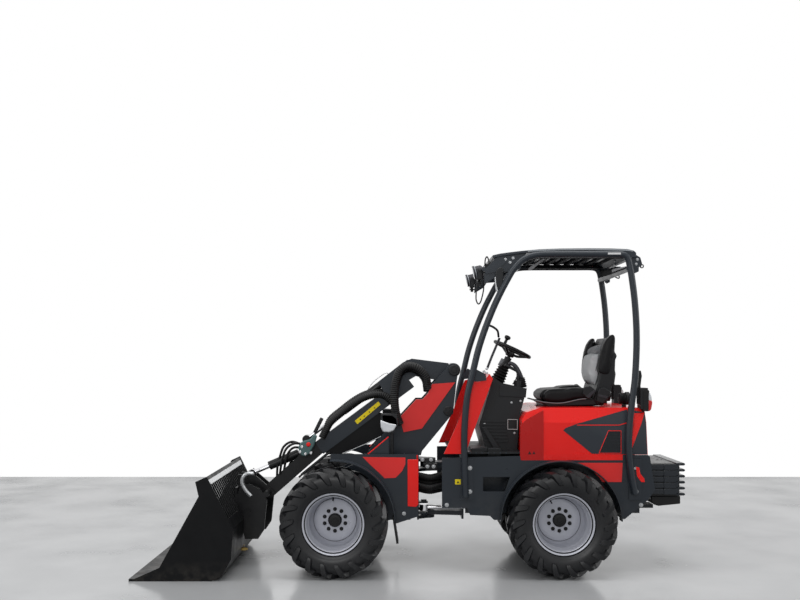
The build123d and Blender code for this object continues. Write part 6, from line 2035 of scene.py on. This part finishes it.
@dataclass
class Stage:
    """Camera, floor and soft studio light."""

    wall_y: float = -4.9
    reach: float = 14.0

    def build(self) -> None:
        """Builds the stage."""
        self._camera()
        self._floor()
        self._world()
        self._lights()
        LOG.info("stage is set")

    def _camera(self) -> None:
        """Sets the camera where the photograph was taken from."""
        data = bpy.data.cameras.new("photo_camera")
        data.sensor_width = 36.0
        data.lens = PHOTO.focal * data.sensor_width / PHOTO.width
        data.shift_y = (PHOTO.horizon - PHOTO.rows / 2) / PHOTO.width
        data.clip_end = 60.0
        camera = bpy.data.objects.new("photo_camera", data)
        camera.location = (PHOTO.shift, PHOTO.distance, PHOTO.height)
        camera.rotation_euler = (math.radians(90), 0.0, math.radians(180))
        bpy.context.scene.collection.objects.link(camera)
        bpy.context.scene.camera = camera
        bpy.context.scene.view_settings.view_transform = "Standard"

    def _floor(self) -> None:
        """Lays the pale floor up to the white background."""
        draft = Draft()
        corners = [
            (-self.reach, self.wall_y), (self.reach, self.wall_y), (self.reach, self.reach),
            (-self.reach, self.reach),
        ]
        draft.mesh.faces.new([draft.mesh.verts.new((x, y, 0.0)) for x, y in corners])
        data = bpy.data.meshes.new("studio_floor")
        draft.mesh.to_mesh(data)
        draft.mesh.free()
        data.materials.append(FLOOR.material())
        floor = bpy.data.objects.new("studio_floor", data)
        bpy.context.scene.collection.objects.link(floor)

    def _world(self) -> None:
        """Makes the surroundings white for the camera and softer as a light."""
        world = bpy.data.worlds.new("studio_white")
        bpy.context.scene.world = world
        world.use_nodes = True
        nodes, links = world.node_tree.nodes, world.node_tree.links
        nodes.clear()
        output = nodes.new("ShaderNodeOutputWorld")
        white = nodes.new("ShaderNodeBackground")
        white.inputs["Color"].default_value = (1.0, 1.0, 1.0, 1.0)
        soft = nodes.new("ShaderNodeBackground")
        soft.inputs["Color"].default_value = (0.95, 0.97, 1.0, 1.0)
        soft.inputs["Strength"].default_value = 0.36
        path = nodes.new("ShaderNodeLightPath")
        mix = nodes.new("ShaderNodeMixShader")
        seen = path.outputs["Is Camera Ray"]
        for output_name in ("Is Glossy Ray", "Is Transmission Ray"):
            most = nodes.new("ShaderNodeMath")
            most.operation = "MAXIMUM"
            links.new(seen, most.inputs[0])
            links.new(path.outputs[output_name], most.inputs[1])
            seen = most.outputs["Value"]
        links.new(seen, mix.inputs["Fac"])
        links.new(soft.outputs["Background"], mix.inputs[1])
        links.new(white.outputs["Background"], mix.inputs[2])
        links.new(mix.outputs["Shader"], output.inputs["Surface"])

    def _lights(self) -> None:
        """Hangs large soft lights above and in front."""
        for name, place, aim, size, power in (
            ("ceiling_light", (0.0, 0.8, 5.2), (0.0, 0.0, 0.0), (6.0, 3.0), 190.0),
            ("front_light", (1.5, 7.5, 3.8), (0.0, 0.0, 0.9), (5.0, 3.0), 150.0),
            ("left_light", (6.0, 2.0, 3.4), (0.0, 0.0, 0.9), (3.0, 3.0), 80.0),
            ("right_light", (-6.0, 2.0, 3.4), (0.0, 0.0, 0.9), (3.0, 3.0), 80.0),
        ):
            data = bpy.data.lights.new(name, "AREA")
            data.shape = "RECTANGLE"
            data.size, data.size_y = size
            data.energy = power
            light = bpy.data.objects.new(name, data)
            light.location = place
            light.rotation_euler = (Vector(aim) - Vector(place)).to_track_quat("-Z", "Y").to_euler()
            bpy.context.scene.collection.objects.link(light)


def main() -> None:
    """Builds the dressed machine from the frame up."""
    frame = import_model()
    logging.basicConfig(level=logging.INFO, format="%(name)s: %(message)s")
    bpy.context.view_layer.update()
    Skins(frame["nodes"]).build()
    Stage().build()
    Wheels().build()
    HoodPanels().build()
    OperatorPlace().build()
    Seat().build()
    RollFrame().build()
    CanopyFittings().build()
    RearEnd().build()
    FrontEnd().build()
    BoomFittings().build()
    BucketTrim().build()


if __name__ == "__main__":
    main()
